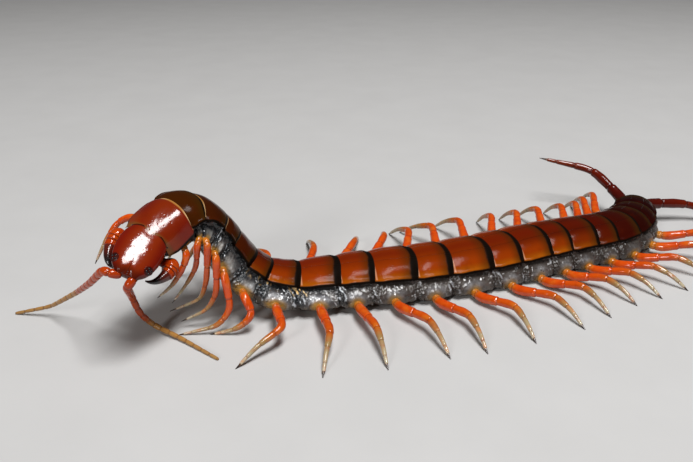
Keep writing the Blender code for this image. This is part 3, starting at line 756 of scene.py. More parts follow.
def plate_finish(name, gloss, relief):
    """Back plates: red neck, orange trunk and maroon tail, each with a dark rear band and rims.

    The ground follows the share of the way along the body. The layers over it follow the place
    on the plate, and most of them belong to the first plate, the neck or the trunk alone.
    """
    finish = Finish(name, Specular_IOR_Level=gloss)
    along, across, body = finish.marks("plate_place")
    beside = abs(across)
    grain = finish.noise(420.0, 5.0)
    wander = (finish.noise(700.0, 3.0) - 0.5) * 0.05
    shield = finish.rise(body, 0.050, 0.045)
    banded = finish.rise(body, 0.045, 0.055)
    neck = finish.rise(body, 0.18, 0.14)
    trunk = finish.rise(body, 0.22, 0.33) * finish.rise(body, 0.82, 0.66)
    side = finish.rise(beside + (grain - 0.5) * 0.10, 0.30, 0.78)
    umber = finish.rise(beside, 0.45, 0.80) * finish.rise(along, 0.60, 0.15)
    dusk = finish.rise(along + beside * 0.10, 0.62, 0.92) * banded
    slim = 0.05 * finish.rise(beside, 0.75, 0.0)
    band = finish.rise(along + wander - slim, 0.79, 0.85) * banded
    dark = band | finish.rise(beside + wander * 0.4, 0.960, 0.980)
    # A thin painted highlight runs along each plate's front edge.
    front = finish.rise(along, 0.100, 0.118) * finish.rise(along, 0.150, 0.128)
    line = front * finish.rise(beside, 0.10, 0.75) * finish.rise(beside, 0.97, 0.92)
    # The neck's golden lips are partly their own colour and partly a painted highlight.
    lip = finish.rise(along + wander * 0.3, 0.905, 0.940) * neck * finish.rise(beside, 0.98, 0.90)
    gilt_and_highlight = finish.mix(finish.rise(beside, 0.25, 0.65), (0.36, 0.16, 0.035), (0.66, 0.42, 0.20))
    colour = finish.layered(
        finish.ramp(body, PLATE_COLOURS),
        (side * trunk * 0.70, (0.26, 0.034, 0.001)),  # warmer to the sides
        (finish.rise(beside, 0.74, 0.94) * trunk * 0.60, (0.30, 0.085, 0.003)),  # golden edges
        (finish.rise(grain, 0.50, 0.80) * 0.30, (0.070, 0.007, 0.001)),  # dark mottling
        (finish.rise(beside, 0.34, 0.0) * trunk * 0.50, (0.11, 0.006, 0.001)),  # deep middle
        # The first plate's lighter middle is a painted sheen where the light falls.
        (finish.rise(beside, 0.80, 0.25) * shield * 0.55, (0.185, 0.021, 0.001)),  # painted sheen on the shield's middle
        (umber * shield * 0.7, (0.20, 0.024, 0.001)),  # and its brown front corners
        (dusk * 0.70, (0.030, 0.014, 0.002)),  # olive before the band
        (dark, (0.004, 0.002, 0.001)),  # rear band and rims
        (line * trunk * 0.80, (0.52, 0.24, 0.13)),  # painted highlight along the front edge
        (finish.rise(along, 0.19, 0.08) * shield * 0.8, (0.14, 0.055, 0.010)),  # at the head
        (lip * 0.9, gilt_and_highlight),  # golden lips on the neck, partly painted highlight
    )
    groove = finish.rise(abs(beside - 0.30), 0.020, 0.0) * finish.rise(body, 0.12, 0.2)
    pits = finish.rise(finish.cells(1500.0), 0.32, 0.12)
    dents = finish.noise(440.0, 2.0, 0.45) * relief
    finish.bump(dents + finish.noise(900.0, 3.0) * 0.20 - groove * 1.4 - pits * 0.15, 0.00006)
    satin = finish.rise(beside, 0.60, 0.86) * shield
    sheen = 0.09 + finish.noise(1100.0, 3.0) * 0.14
    return finish.done(colour, sheen + dark * 0.45 + satin * 0.34)


def head_finish():
    """Head plate and capsule: deep glossy red, nearly black at the front rim and the sutures."""
    finish = Finish("head_shell", Specular_IOR_Level=0.42)
    along, across, _ = finish.marks("head_place")
    beside = abs(across)
    suture = finish.rise(beside, 0.018, 0.0) * finish.rise(along, 0.62, 0.92)
    rear = finish.rise(along, 0.015, -0.02)
    colour = finish.layered(
        finish.mix(finish.noise(380.0, 5.0), (0.170, 0.008, 0.001), (0.105, 0.004, 0.001)),
        # The head's lighter middle is a painted sheen where the light falls.
        (finish.rise(beside, 0.85, 0.30) * 0.55, (0.215, 0.024, 0.001)),  # painted orange sheen along the middle
        (finish.rise(along, 0.80, 0.98) * 0.75, (0.035, 0.003, 0.001)),  # front rim
        (suture * 0.7 | rear, (0.022, 0.003, 0.001)),  # sutures and rear edge
    )
    pits = finish.rise(finish.cells(1700.0), 0.24, 0.08)
    dents = finish.noise(420.0, 2.0, 0.45) * 2.2
    finish.bump(dents + finish.noise(1000.0, 3.0) * 0.12 - pits * 0.15 - suture, 0.00004)
    return finish.done(colour, 0.06 + finish.noise(900.0, 3.0) * 0.10)


def skin_finish():
    """Soft flanks: grey with whitish lobes, blue-black pleats, brown below and golden hips.

    The pleats carry painted shade between their crests and painted highlights on them, and a
    painted shadow lies under the plates' rims.
    """
    finish = Finish("soft_skin", Specular_IOR_Level=0.65, IOR=1.45)
    hip, height, body = finish.marks("skin_place")
    lobe, pleated, crest = finish.marks("skin_relief")
    grain = finish.noise(900.0, 5.0, 0.65)
    speckle = grain - 0.5
    streak = finish.noise(700.0, 4.0, 0.6, (0.45, 1.0, 1.0)) - 0.5
    cloud = finish.rise(finish.noise(300.0, 3.0), 0.35, 0.65)
    whitish = finish.mix(finish.rise(grain, 0.35, 0.65), (0.19, 0.19, 0.20), (0.42, 0.43, 0.45))
    paler = finish.mix(finish.rise(body, 0.30, 0.12) * 0.5, whitish, (0.62, 0.58, 0.50))
    brownish = finish.mix(finish.noise(500.0, 5.0), (0.050, 0.038, 0.028), (0.15, 0.120, 0.085))
    gold = finish.mix(finish.noise(800.0, 4.0), (0.13, 0.080, 0.012), (0.48, 0.24, 0.030))
    low = finish.rise(height + speckle * 0.12, -0.25, -0.34)
    # The dark band just under the plates' rims is a painted shadow.
    upper = finish.rise(height, -0.155, -0.085)
    ends = finish.rise(body, 0.15, 0.09) * 1.3 | finish.rise(body, 0.66, 0.84)
    # The pleats are blue-black, and darker between their crests as painted shade.
    creases = finish.rise(pleated + speckle * 0.9 - crest * 0.25, 0.25, 0.75)
    shade = creases * 0.92 | upper * 0.85 | ends * 0.60
    # Pale lines along the pleats' crests are painted highlights.
    line = finish.rise(crest + speckle * 0.5, 0.72, 0.95) * (0.15 + 0.85 * pleated)
    # Golden glints are painted on the pleats just under the plates' rims.
    painted_glints = finish.rise(height, -0.165, -0.115) * finish.rise(crest, 0.55, 0.85) * pleated
    belt = finish.rise(body, 0.20, 0.23) * finish.rise(body, 0.34, 0.30)
    patches = finish.rise(finish.noise(300.0, 2.0), 0.48, 0.58)
    specks = finish.rise(finish.cells(1100.0), 0.26, 0.16) * patches
    colour = finish.layered(
        finish.mix(cloud, (0.040, 0.038, 0.040), (0.120, 0.110, 0.105)),
        (finish.rise(lobe + streak * 1.3, 0.25, 0.95) * 0.85, paler),  # streaky lobes
        (low * 0.8, brownish),
        (shade * (1.0 - low * 0.6), (0.007, 0.010, 0.013)),  # blue-black pleats with painted shade, painted shadow under the rims, darker ends
        (line * (1.0 - low * 0.8) * 0.9, (0.58, 0.61, 0.65)),  # painted highlights on the pleats' crests
        (painted_glints * belt, (0.75, 0.48, 0.17)),  # painted golden glints under the plates behind the neck
        (finish.rise(hip, 0.16, 0.64) * 0.88, gold),
        (finish.rise(body, 0.32, 0.42) * 0.50, (0.050, 0.034, 0.024)),  # tanned hind flank
        (specks * 0.6, (0.006, 0.006, 0.010)),  # dark specks
    )
    lumps = finish.noise(1300.0, 2.0, 0.5) * (0.16 + 0.50 * pleated)
    finish.bump(lumps + finish.noise(500.0, 2.0) * 0.25, 0.00120)
    return finish.done(colour, 0.07 + finish.noise(900.0, 3.0) * 0.12)


def belly_finish():
    """Belly plates: smooth horn-yellow with a dusky rear edge."""
    finish = Finish("belly_plate_shell", Coat_Weight=0.4, Coat_Roughness=0.15)
    along, across, body = finish.marks("plate_place")
    beside = abs(across)
    edge = finish.rise(along, 0.86, 0.98) | finish.rise(beside, 0.88, 1.0)
    colour = finish.layered(
        finish.mix(finish.noise(450.0, 5.0), (0.40, 0.22, 0.07), (0.28, 0.14, 0.05)),
        (finish.rise(body, 0.70, 0.95) * 0.8, (0.22, 0.035, 0.012)),  # redder tail
        (edge * 0.6, (0.07, 0.035, 0.015)),
    )
    groove = finish.rise(abs(beside - 0.42), 0.03, 0.0)
    finish.bump(finish.noise(1000.0, 4.0) * 0.4 - groove, 0.00005)
    return finish.done(colour, 0.25 + finish.noise(800.0, 3.0) * 0.15)


def leg_finish():
    """Walking legs: bright orange-red thighs, yellower shins and pale feet, with dusky joints."""
    finish = Finish("leg_shell", Specular_IOR_Level=0.60)
    along, joint, _ = finish.marks("leg_place")
    ground = finish.ramp(along, (
        (0.0, (0.40, 0.17, 0.020)), (0.05, (0.44, 0.125, 0.010)), (0.11, (0.56, 0.062, 0.002)),
        (0.30, (0.56, 0.058, 0.002)), (0.46, (0.50, 0.066, 0.002)), (0.56, (0.42, 0.100, 0.010)),
        (0.66, (0.29, 0.170, 0.060)), (0.80, (0.35, 0.280, 0.160)), (0.94, (0.46, 0.400, 0.280)),
    ))
    colour = finish.layered(
        ground,
        (finish.rise(finish.noise(900.0, 4.0), 0.45, 0.75) * 0.5, (0.34, 0.022, 0.002)),  # redder
        (finish.rise(finish.noise(500.0, 2.0), 0.50, 0.70) * 0.4, (0.60, 0.15, 0.012)),  # paler
        (finish.rise(joint, 0.35, 0.95) * 0.45, (0.14, 0.020, 0.003)),
    )
    pits = finish.rise(finish.cells(2600.0), 0.30, 0.12)
    finish.bump(finish.noise(1500.0, 4.0) * 0.5 - pits * 0.3 - joint * 0.3, 0.00004)
    return finish.done(colour, 0.07 + finish.noise(1200.0, 3.0) * 0.10)


def last_leg_finish():
    """The last pair of legs: glossy dark red, redder towards the foot."""
    finish = Finish("last_leg_shell", Specular_IOR_Level=0.35)
    along, joint, _ = finish.marks("leg_place")
    ground = finish.ramp(along, (
        (0.0, (0.026, 0.002, 0.001)), (0.3, (0.080, 0.004, 0.001)), (0.6, (0.14, 0.010, 0.001)),
        (0.9, (0.18, 0.024, 0.003)),
    ))
    colour = finish.layered(
        ground,
        (finish.noise(700.0, 4.0) * 0.5, (0.050, 0.003, 0.001)),
        (finish.rise(joint, 0.35, 0.95) * 0.5, (0.016, 0.002, 0.001)),
    )
    finish.bump(finish.noise(1300.0, 4.0) * 0.5 - joint * 0.4, 0.00005)
    return finish.done(colour, 0.10 + finish.noise(1000.0, 3.0) * 0.12)


def feeler_finish():
    """Feelers: red-orange at the root, brown-gold further out, each article with a dark ring."""
    finish = Finish("feeler_shell", Specular_IOR_Level=0.36)
    along, joint, _ = finish.marks("leg_place")
    ground = finish.ramp(along, (
        (0.0, (0.32, 0.026, 0.001)), (0.10, (0.46, 0.050, 0.002)), (0.47, (0.38, 0.046, 0.002)),
        (0.53, (0.40, 0.200, 0.048)), (1.0, (0.34, 0.200, 0.066)),
    ))
    colour = finish.layered(
        ground,
        (finish.noise(1200.0, 4.0) * 0.4, (0.16, 0.018, 0.002)),
        (finish.rise(joint, 0.2, 0.9) * 0.45, (0.06, 0.008, 0.002)),
    )
    hairs = finish.rise(finish.cells(5200.0), 0.35, 0.10)
    finish.bump(finish.noise(2500.0, 3.0) * 0.3 + hairs * 0.15, 0.00003)
    return finish.done(colour, 0.08 + finish.noise(1500.0, 3.0) * 0.10)


def fang_finish():
    """Fangs and their base: orange-red, redder and darker towards the claw."""
    finish = Finish("fang_shell", Specular_IOR_Level=0.40)
    along, joint, _ = finish.marks("leg_place")
    ground = finish.ramp(along, (
        (0.0, (0.12, 0.006, 0.001)), (0.16, (0.40, 0.034, 0.001)), (0.38, (0.50, 0.060, 0.002)),
        (0.6, (0.34, 0.030, 0.001)), (1.0, (0.12, 0.008, 0.001)),
    ))
    colour = finish.layered(
        ground,
        (finish.noise(600.0, 4.0) * 0.5, (0.14, 0.008, 0.001)),
        (finish.rise(joint, 0.35, 0.95) * 0.55, (0.03, 0.003, 0.001)),
    )
    finish.bump(finish.noise(1200.0, 4.0) * 0.5 - joint * 0.5, 0.00005)
    return finish.done(colour, 0.08 + finish.noise(900.0, 3.0) * 0.10)


def claw_finish(name, root, tip):
    """Claws: horn that darkens from its root to its tip."""
    finish = Finish(name, Coat_Roughness=0.05, Coat_Weight=0.5)
    along, _, _ = finish.marks("leg_place")
    darker = finish.rise(along, 0.05, 0.55)
    colour = finish.layered(root, (darker, tip), (finish.noise(1800.0, 4.0) * 0.4, tip))
    finish.bump(finish.noise(2400.0, 3.0), 0.00002)
    return finish.done(colour, 0.12 + finish.noise(1500.0, 2.0) * 0.12)


def eye_finish():
    """Eyes: black glossy domes on a slightly duller dark field."""
    finish = Finish("eye_lens", Specular_IOR_Level=0.35)
    dome, _, _ = finish.marks("eye_place")
    field = finish.mix(finish.noise(1500.0, 4.0), (0.020, 0.002, 0.001), (0.050, 0.003, 0.001))
    colour = finish.mix(finish.rise(dome, 0.05, 0.35), field, (0.004, 0.004, 0.006))
    finish.bump(finish.noise(3000.0, 3.0) * (1.0 - finish.rise(dome, 0.0, 0.2)), 0.00003)
    return finish.done(colour, 0.30 - 0.24 * finish.rise(dome, 0.05, 0.35))


# ---- the body


def skin_loop():
    """The closed skin outline: across, up, softness and share of the way round.

    Its corners are rounded by a bell-shaped average. The places lie closer together on the
    flanks, a quarter and three quarters of the way round.
    """
    half = np.array(SKIN_SECTION)
    loop = np.concatenate([half, half[-2:0:-1] * (-1.0, 1.0, 1.0), half[:1]])
    spans = np.linalg.norm(np.diff(loop[:, :2], axis=0), axis=1)
    reached = np.concatenate([[0.0], np.cumsum(spans)]) / spans.sum()
    fine = np.linspace(0.0, 1.0, 721)
    left_flank = SKIN_CROWDING * bell((fine - 0.25) / SKIN_CROWDED)
    right_flank = SKIN_CROWDING * bell((fine - 0.75) / SKIN_CROWDED)
    crowding = np.cumsum(1.0 + left_flank + right_flank)
    crowding = (crowding - crowding[0]) / (crowding[-1] - crowding[0])
    around = np.interp(np.arange(SKIN_SIDES) / SKIN_SIDES, crowding, fine)
    offsets, weights = bell_weights(9)
    places = (around[:, None] + offsets * SKIN_ROUNDING) % 1.0
    across, up, soft = (np.interp(places, reached, column) @ weights for column in loop.T)
    return across, up, soft, around


def add_skin():
    """One skin from the neck to the tail.

    Each ring is the rounded outline scaled to the body there. The flank draws in at every border
    between segments, where it is pleated, swells into a lobe between the borders and again round
    every leg's root. Bell curves of the distance place all of these. The pleats are the sine of
    a slanting count that soft noise bends.
    """
    distance = np.arange(0.0, BODY_LENGTH + 0.5 * SKIN_STEP, SKIN_STEP)
    distance = distance * BODY_LENGTH / distance[-1]
    across, up, soft, around = (column[None, :] for column in skin_loop())
    number, share = segment_place(distance)
    swelling = swelling_at(distance)[:, None]
    depth = depth_at(distance)[:, None]
    x = across * (1.0 + soft * (swelling - 1.0))
    y = up * (1.0 + soft * (depth - 1.0))
    flank = soft * np.clip((np.abs(across) - FLANK_FROM[0]) / FLANK_FROM[1], 0.0, 1.0)
    border = np.abs(distance[:, None] - STARTS[None, :]).min(axis=1)[:, None]
    from_root = (distance - leg_distance(number))[:, None]
    near_y = (y - FLANK_HEIGHT * depth) / HIP_HEIGHT
    hip = bell(np.sqrt((from_root / HIP_LENGTH) ** 2 + near_y**2)) * (np.abs(across) > HIP_ACROSS)
    lobe = bell(from_root / LOBE_LENGTH) * bell((y + LOBE_DROP * depth) / LOBE_HEIGHT)
    way = distance[:, None] / BODY_LENGTH
    rough = soft_noise(way, around, 120, 30, 5)
    fine = soft_noise(way, around, 340, 84, 8)
    bent = PLEAT_WANDER * soft_noise(way, around, 90, 18, 3)
    pleat = np.abs(np.sin(distance[:, None] * PLEAT_RATE + up * PLEAT_LEAN + bent)) - 0.6
    pleated = bell(border / PLEAT_REACH) * (0.55 + 0.45 * soft_noise(way, around, 110, 14, 4))
    crease = CREASE_DEPTH * bell((share[:, None] - CREASE_AT) / CREASE_HALF)
    sunk = -BORDER_DEPTH * bell(border / BORDER_HALF) - crease
    folded = sunk + PLEAT_RAISED * pleated * pleat + ROUGH_RAISED * rough + FINE_RAISED * fine
    folded = folded + LOBE_RAISED * lobe
    raised = flank * folded * (1.0 - 0.6 * hip) + HIP_RAISED * hip
    length = np.sqrt(x**2 + (y - SKIN_MIDDLE) ** 2)
    x = x + raised * x / length
    y = y + raised * (y - SKIN_MIDDLE) / length
    rings = on_body(np.broadcast_to(distance[:, None], x.shape), x, y)
    front, rear = spine_at(np.array([0.0, BODY_LENGTH]))[1]
    front_reach, rear_reach = SKIN_END_REACH
    rings = round_ends(rings, -front_reach * front, rear_reach * rear, SKIN_END_RINGS)
    crest = 0.5 + 0.9 * pleated * pleat + 0.30 * fine + 0.25 * rough
    place = marked(hip, y, way)
    relief = marked(lobe, bell(border / 0.13), crest)
    marks = {
        "skin_place": with_ends(place, SKIN_END_RINGS, SKIN_END_RINGS),
        "skin_relief": with_ends(relief, SKIN_END_RINGS, SKIN_END_RINGS),
    }
    tube("soft_skin", rings, SKIN_FINISH, BODY_PIECES, marks)


def node_of_segment(number):
    """The solid that holds a segment."""
    return next(name for name, (first, last) in BODY_PIECES.items() if first <= number <= last)


def add_plate(name, number, upper, down, share, across, finish):
    """A back or belly plate of a segment, marked with its place along, across and on the body."""
    marks = {"plate_place": marked(share, across, (number - 0.5) / SEGMENTS)}
    thick_sheet(name, upper, down, finish, (node_of_segment(number),), marks)


def add_back_plate(number):
    """A back plate.

    Its height falls with the distance from the midline to the power of two and a half, and rises
    along the plate to a lip that rolls down over the next plate. The rims are raised beads, the
    corners are rounded and the rear edge bows out. The first plate also bends down at its sides,
    with the sixth power of that distance, and flares there towards its front.
    """
    start, end = PLATE_STARTS[number - 1 : number + 1]
    length = end - start
    quarter = 0.5 * math.pi
    share = 0.5 - 0.5 * np.cos(np.linspace(0.0, math.pi, PLATE_ROWS))
    even = 1.0 - PLATE_CROWDING
    across = np.sin(np.linspace(-quarter, quarter, PLATE_COLUMNS)) * PLATE_CROWDING
    across = across + np.linspace(-even, even, PLATE_COLUMNS)
    share, across = np.meshgrid(share, across, indexing="ij")
    beside = np.abs(across)
    tuck, lap = (min(reach / length, most) for reach, most in (PLATE_TUCK, PLATE_LAP))
    distance = start + length * (share * (1.0 + tuck + lap) - tuck)
    low, gained, lip = PLATE_LIFT
    rise = low + gained * eased(share, 0.0, 0.50) + lip * eased(share, 0.84, 1.0)
    front, rear = PLATE_CORNERS
    corner = 1.0 - front * (1.0 - eased(share, 0.0, 0.28)) - rear * eased(share, 0.78, 1.0) ** 2
    x = (PLATE_HALF + 0.4 * rise) * across * corner
    if number == 1:
        x = x * (1.0 + SHIELD_FLARE * across**2 * (1.6 - share))
        rise = rise - SHIELD_FLANGE * across**6
    y = PLATE_TOP - PLATE_DROP * beside**2.5 + rise
    for height, place, half in (PLATE_BEAD, PLATE_HOLLOW):
        y = y + height * bell((beside - place) / half)
    distance = distance + PLATE_BOW * (1.0 - across**2) * eased(share, 0.5, 1.0)
    upper = on_body(distance, x, y)
    down = -PLATE_THICKNESS * WIDTH * spine_at(distance)[3]
    finish = SHIELD_FINISH if number == 1 else PLATE_FINISH
    add_plate(f"back_plate_{number:02d}", number, upper, down, share, across, finish)


def add_belly_plate(number):
    """A belly plate: nearly flat, rounded at its corners, a little proud of the soft belly."""
    share = np.linspace(0.0, 1.0, BELLY_PLATE_ROWS)
    across = np.linspace(-1.0, 1.0, BELLY_PLATE_COLUMNS)
    share, across = np.meshgrid(share, across, indexing="ij")
    first, span = BELLY_PLATE_SPAN
    distance = STARTS[number - 1] + LENGTHS[number - 1] * (first + span * share)
    from_middle = np.abs(2.0 * share - 1.0)
    corner = 1.0 - BELLY_PLATE_CORNERS * from_middle**4
    x = BELLY_PLATE_HALF * across * corner * swelling_at(distance)
    edge = eased(np.maximum(np.abs(across), from_middle), 0.88, 1.0)
    y = (BELLY_HEIGHT - BELLY_PLATE_PROUD + BELLY_PLATE_EDGE * edge) * depth_at(distance)
    upper = on_body(distance, x, y)
    down = BELLY_PLATE_THICKNESS * WIDTH * spine_at(distance)[3]
    add_plate(f"belly_plate_{number:02d}", number, upper, down, share, across, BELLY_FINISH)


# ---- the legs


def leg_root(number, side):
    """Middle of the flank where the leg starts, and the outward and tailward directions there.

    Outward is at right angles to the flank's line just before and behind the root.
    """
    around = leg_distance(number) + np.array([-LEG_ROOT_HALF, 0.0, LEG_ROOT_HALF])
    centre, tailward, left, dorsal = spine_at(around)
    across = (FLANK_ACROSS * swelling_at(around))[:, None]
    height = (FLANK_HEIGHT * depth_at(around))[:, None]
    flank = centre + breadth_at(around)[:, None] * (side * across * left + height * dorsal)
    outward = unit(side * np.cross(flank[2] - flank[0], dorsal[1]))
    return flank[1], outward, tailward[1]


def swept(angle, level_out, level_tail):
    """A level direction turned tailward from straight out."""
    return math.cos(angle) * level_out + math.sin(angle) * level_tail


def leg_places(number, side):
    """Places along a leg: root, straight start, knee, ankle and foot.

    The foot stands as far out as the leg's reach and its own height allow, the knee about half
    that far, and the ankle between them.
    """
    root, outward, tailward = leg_root(number, side)
    start = root + GAP * outward
    if side > 0 and number in NECK_LEGS:
        places = MM * np.array(NECK_LEGS[number])
        places[:, :2] += PLAN_SHIFT
        return [start, start + NECK_LEG_STRAIGHT * outward, *places]
    length = WIDTH * np.interp(number, LEG_LENGTH_AT, LEG_LENGTH)
    level_out = unit(outward * (1.0, 1.0, 0.0))
    level_tail = unit(tailward * (1.0, 1.0, 0.0))
    sweeps = (LEFT_SWEEP, LEFT_KNEE_SWEEP) if side > 0 else (RIGHT_SWEEP, RIGHT_KNEE_SWEEP)
    foot_sweep, knee_sweep = (math.radians(row[number - SEGMENTS]) for row in sweeps)
    hip = start + HIP_AT * length * outward
    foot_height = FOOT_HEIGHT.get(number, FLAT_FOOT)
    drop = start[2] - foot_height
    straight = length * np.interp(number, REACH_AT, REACH)
    reach = math.sqrt(max(straight**2 - drop**2, (LEAST_REACH * length) ** 2))
    foot = start + reach * swept(foot_sweep, level_out, level_tail)
    foot[2] = foot_height
    lifts = LEFT_KNEE_LIFT if side > 0 else RIGHT_KNEE_LIFT
    knee = start + KNEE_AT * reach * swept(knee_sweep, level_out, level_tail)
    knee[2] = start[2] + np.interp(number, KNEE_LIFT_AT, lifts) * length
    ankle = knee + ANKLE_AT * (foot - knee)
    ankle[2] += ANKLE_LIFT * length
    return [start, hip, knee, ankle, foot]


def jointed(shares, profile, joints):
    """Radii along a limb, and how near each place is to a joint.

    The radius follows the profile; it pinches at each joint and swells into a collar before it.
    """
    stations, radii = np.array(profile).T
    radius = softened(shares, stations, radii, PROFILE_SOFTNESS)
    nearness = np.zeros_like(radius)
    for joint in joints:
        beyond = shares - joint
        pinch = JOINT_PINCH * bell(beyond / JOINT_PINCH_HALF)
        collar = JOINT_COLLAR * bell((beyond + JOINT_COLLAR_BEFORE) / JOINT_COLLAR_HALF)
        radius = radius * (1.0 - pinch + collar)
        nearness = np.maximum(nearness, bell(beyond / JOINT_NEAR))
    return radius, nearness


def above_floor(rings):
    """Rings with every point below the floor lifted to it."""
    rings[..., 2] = np.maximum(rings[..., 2], 0.0)
    return rings


def add_limb(
    number, side, places, softness, profile, joints, thickness, rooted, finish, claw_at
):
    """A leg from inside the flank to its ankle, and its claw, both carried along the leg's path."""
    name = f"leg_{side_name(side)}_{number:02d}"
    first = unit(places[1] - places[0])
    across = np.cross(places[-1] - places[0], places[2] - places[0])
    across /= np.linalg.norm(across)
    shares = np.linspace(0.0, 1.0, LEG_RINGS)
    points, tangents = path_through(places, softness, shares)
    blend = eased(shares, 0.0, LEG_BLEND)[:, None]
    start = places[0] + first * (shares * np.linalg.norm(points[-1] - points[0]))[:, None]
    points = start * (1.0 - blend) + points * blend
    tangents = unit(first * (1.0 - blend) + tangents * blend)
    radii, nearness = jointed(shares, profile, joints)
    rings = above_floor(carried(points, tangents, radii * thickness, LEG_SIDES, across))
    leg = shares <= claw_at
    body = np.concatenate([rings[:1] - rooted * first, rings[leg]])
    body = round_ends(body, None, LEG_END_REACH * tangents[leg][-1], LEG_END_RINGS)
    along = np.concatenate([[0.0], shares[leg], [claw_at] * LEG_END_RINGS])
    near = np.concatenate([[0.0], nearness[leg], [0.0] * LEG_END_RINGS])
    tube(name, body, finish, (name,), {"leg_place": ring_marks(LEG_SIDES, along, near)})
    claw_shares = np.linspace(claw_at - CLAW_OVERLAP, 1.0, CLAW_RINGS)
    points, tangents = (at_shares(claw_shares, shares, column) for column in (points, tangents))
    slimmer = np.linspace(*CLAW_THICKNESS, CLAW_RINGS)
    claw_radii = np.interp(claw_shares, shares, radii) * thickness * slimmer
    claw = above_floor(carried(points, unit(tangents), claw_radii, LEG_SIDES // 2, across))
    marks = {"leg_place": ring_marks(LEG_SIDES // 2, np.linspace(0.0, 1.0, CLAW_RINGS))}
    tube(name.replace("leg", "claw"), claw, CLAW_FINISH, (name,), marks)


def side_name(side):
    """The animal's left is 1, its right is -1."""
    return "left" if side > 0 else "right"


def add_leg(number, side):
    """A walking leg, slimmer on the neck."""
    thickness = WIDTH * np.interp(number, SMALL_LEG_AT, SMALL_LEG)
    add_limb(number, side, leg_places(number, side), LEG_SOFTNESS, LEG_PROFILE, LEG_JOINTS,
             thickness, LEG_ROOTED, LEG_FINISH, CLAW_AT)


def add_last_leg(side):
    """A leg of the last pair: it leaves the tail straight back, then spreads at hip and knee."""
    centre, tailward, left, dorsal = spine_end(BODY_LENGTH)
    breadth = breadth_at(np.array([BODY_LENGTH]))[0]
    across, up = LAST_LEG_ROOT
    root = centre + breadth * (side * across * left + up * dorsal) + GAP * tailward
    length = LAST_LEG_LENGTH * WIDTH
    to_hip, thigh, shin = LAST_LEG_SHARES
    spreads = np.radians(LAST_LEG_SPREAD[side]) + math.atan2(tailward[1], tailward[0])
    away = np.stack([np.cos(spreads), np.sin(spreads), 0.0 * spreads], axis=1)
    hip = root + to_hip * length * tailward
    knee = hip + thigh * length * away[0]
    foot = knee + shin * length * away[1]
    knee[2], foot[2] = root[2] + length * np.array(LAST_LEG_LIFT[side])
    add_limb(SEGMENTS, side, [root, hip, knee, foot], LAST_LEG_SOFTNESS, LAST_LEG_PROFILE,
             LAST_LEG_JOINTS, WIDTH, LAST_LEG_ROOTED, LAST_LEG_FINISH, LAST_CLAW_AT)


# ---- the head


def head_frame():
    """The neck's front centre and the left, forward and up directions of the head."""
    centre, tailward, left, dorsal = spine_end(0.0)
    return centre, left, -tailward, dorsal


def in_head(places):
    """World points of places given as left, forward and up in the head's frame.

    The forward axis first follows an arc to the left and then goes straight on.
    """
    centre, left, forward, up = head_frame()
    places = np.asarray(places)
    aside = places[..., :1]
    along = places[..., 1:2]
    on_arc = np.clip(along, 0.0, HEAD_TURN_OVER)
    angle = HEAD_TURN * on_arc / HEAD_TURN_OVER
    cosine, sine = np.cos(angle), np.sin(angle)
    radius = HEAD_TURN_OVER / HEAD_TURN
    across = radius * (1.0 - cosine) + (along - on_arc) * sine + aside * cosine
    ahead = radius * sine + (along - on_arc) * cosine - aside * sine
    return centre + across * left + ahead * forward + places[..., 2:] * up


def head_ahead(first, second):
    """The unit direction from one distance forward in the head to another."""
    near, far = in_head(np.array([[0.0, first, 0.0], [0.0, second, 0.0]]))
    return unit(far - near)


def swollen(wave, power):
    """A sine or cosine to the power, with its sign kept: below one, the loop turns boxier."""
    return np.sign(wave) * np.abs(wave) ** power


def head_shape(share, turn):
    """Places on the head: share runs from the neck to the front, turn is the angle around it.

    Across and up are the cosine and sine of the turn, swollen, times the softened half width and
    the crown's or the underside's height.
    """
    stations, half_width, crown, underside = np.array(HEAD_PROFILE).T
    half_width, crown, underside = (
        softened(share, stations, column, HEAD_SOFTNESS) * HEAD_WIDTH
        for column in (half_width, crown, underside)
    )
    upward = np.abs(np.sin(turn)) ** RIM_POWER
    height = np.where(np.sin(turn) > 0.0, crown * upward, underside * upward)
    forward = 0.5 * GAP + share * (HEAD_LENGTH - 0.5 * GAP)
    across = half_width * swollen(np.cos(turn), RIM_POWER)
    return np.stack([across, forward + 0.0 * height, height], axis=-1)


def turns(sides):
    """Angles evenly round a loop, the first half a step on from zero."""
    return (2.0 * math.pi * (np.arange(sides) + 0.5) / sides)[None, :]


def add_head():
    """The capsule under the head plate: the head's own loop, its upper half drawn in a little."""
    share = np.linspace(0.0, 1.0, HEAD_ROWS)[:, None]
    turn = turns(HEAD_SIDES)
    places = head_shape(share, turn)
    places[..., ::2] *= (1.0 - HEAD_DRAWN_IN * (np.sin(turn) > 0.0))[..., None]
    forward = head_ahead(0.0, 1.0)
    first, last = (reach * forward for reach in HEAD_END_REACH)
    rings = round_ends(in_head(places), first, last, HEAD_END_RINGS)
    marks = with_ends(marked(share, np.cos(turn)), HEAD_END_RINGS, HEAD_END_RINGS)
    tube("head_capsule", rings, HEAD_FINISH, ("head",), {"head_place": marks})


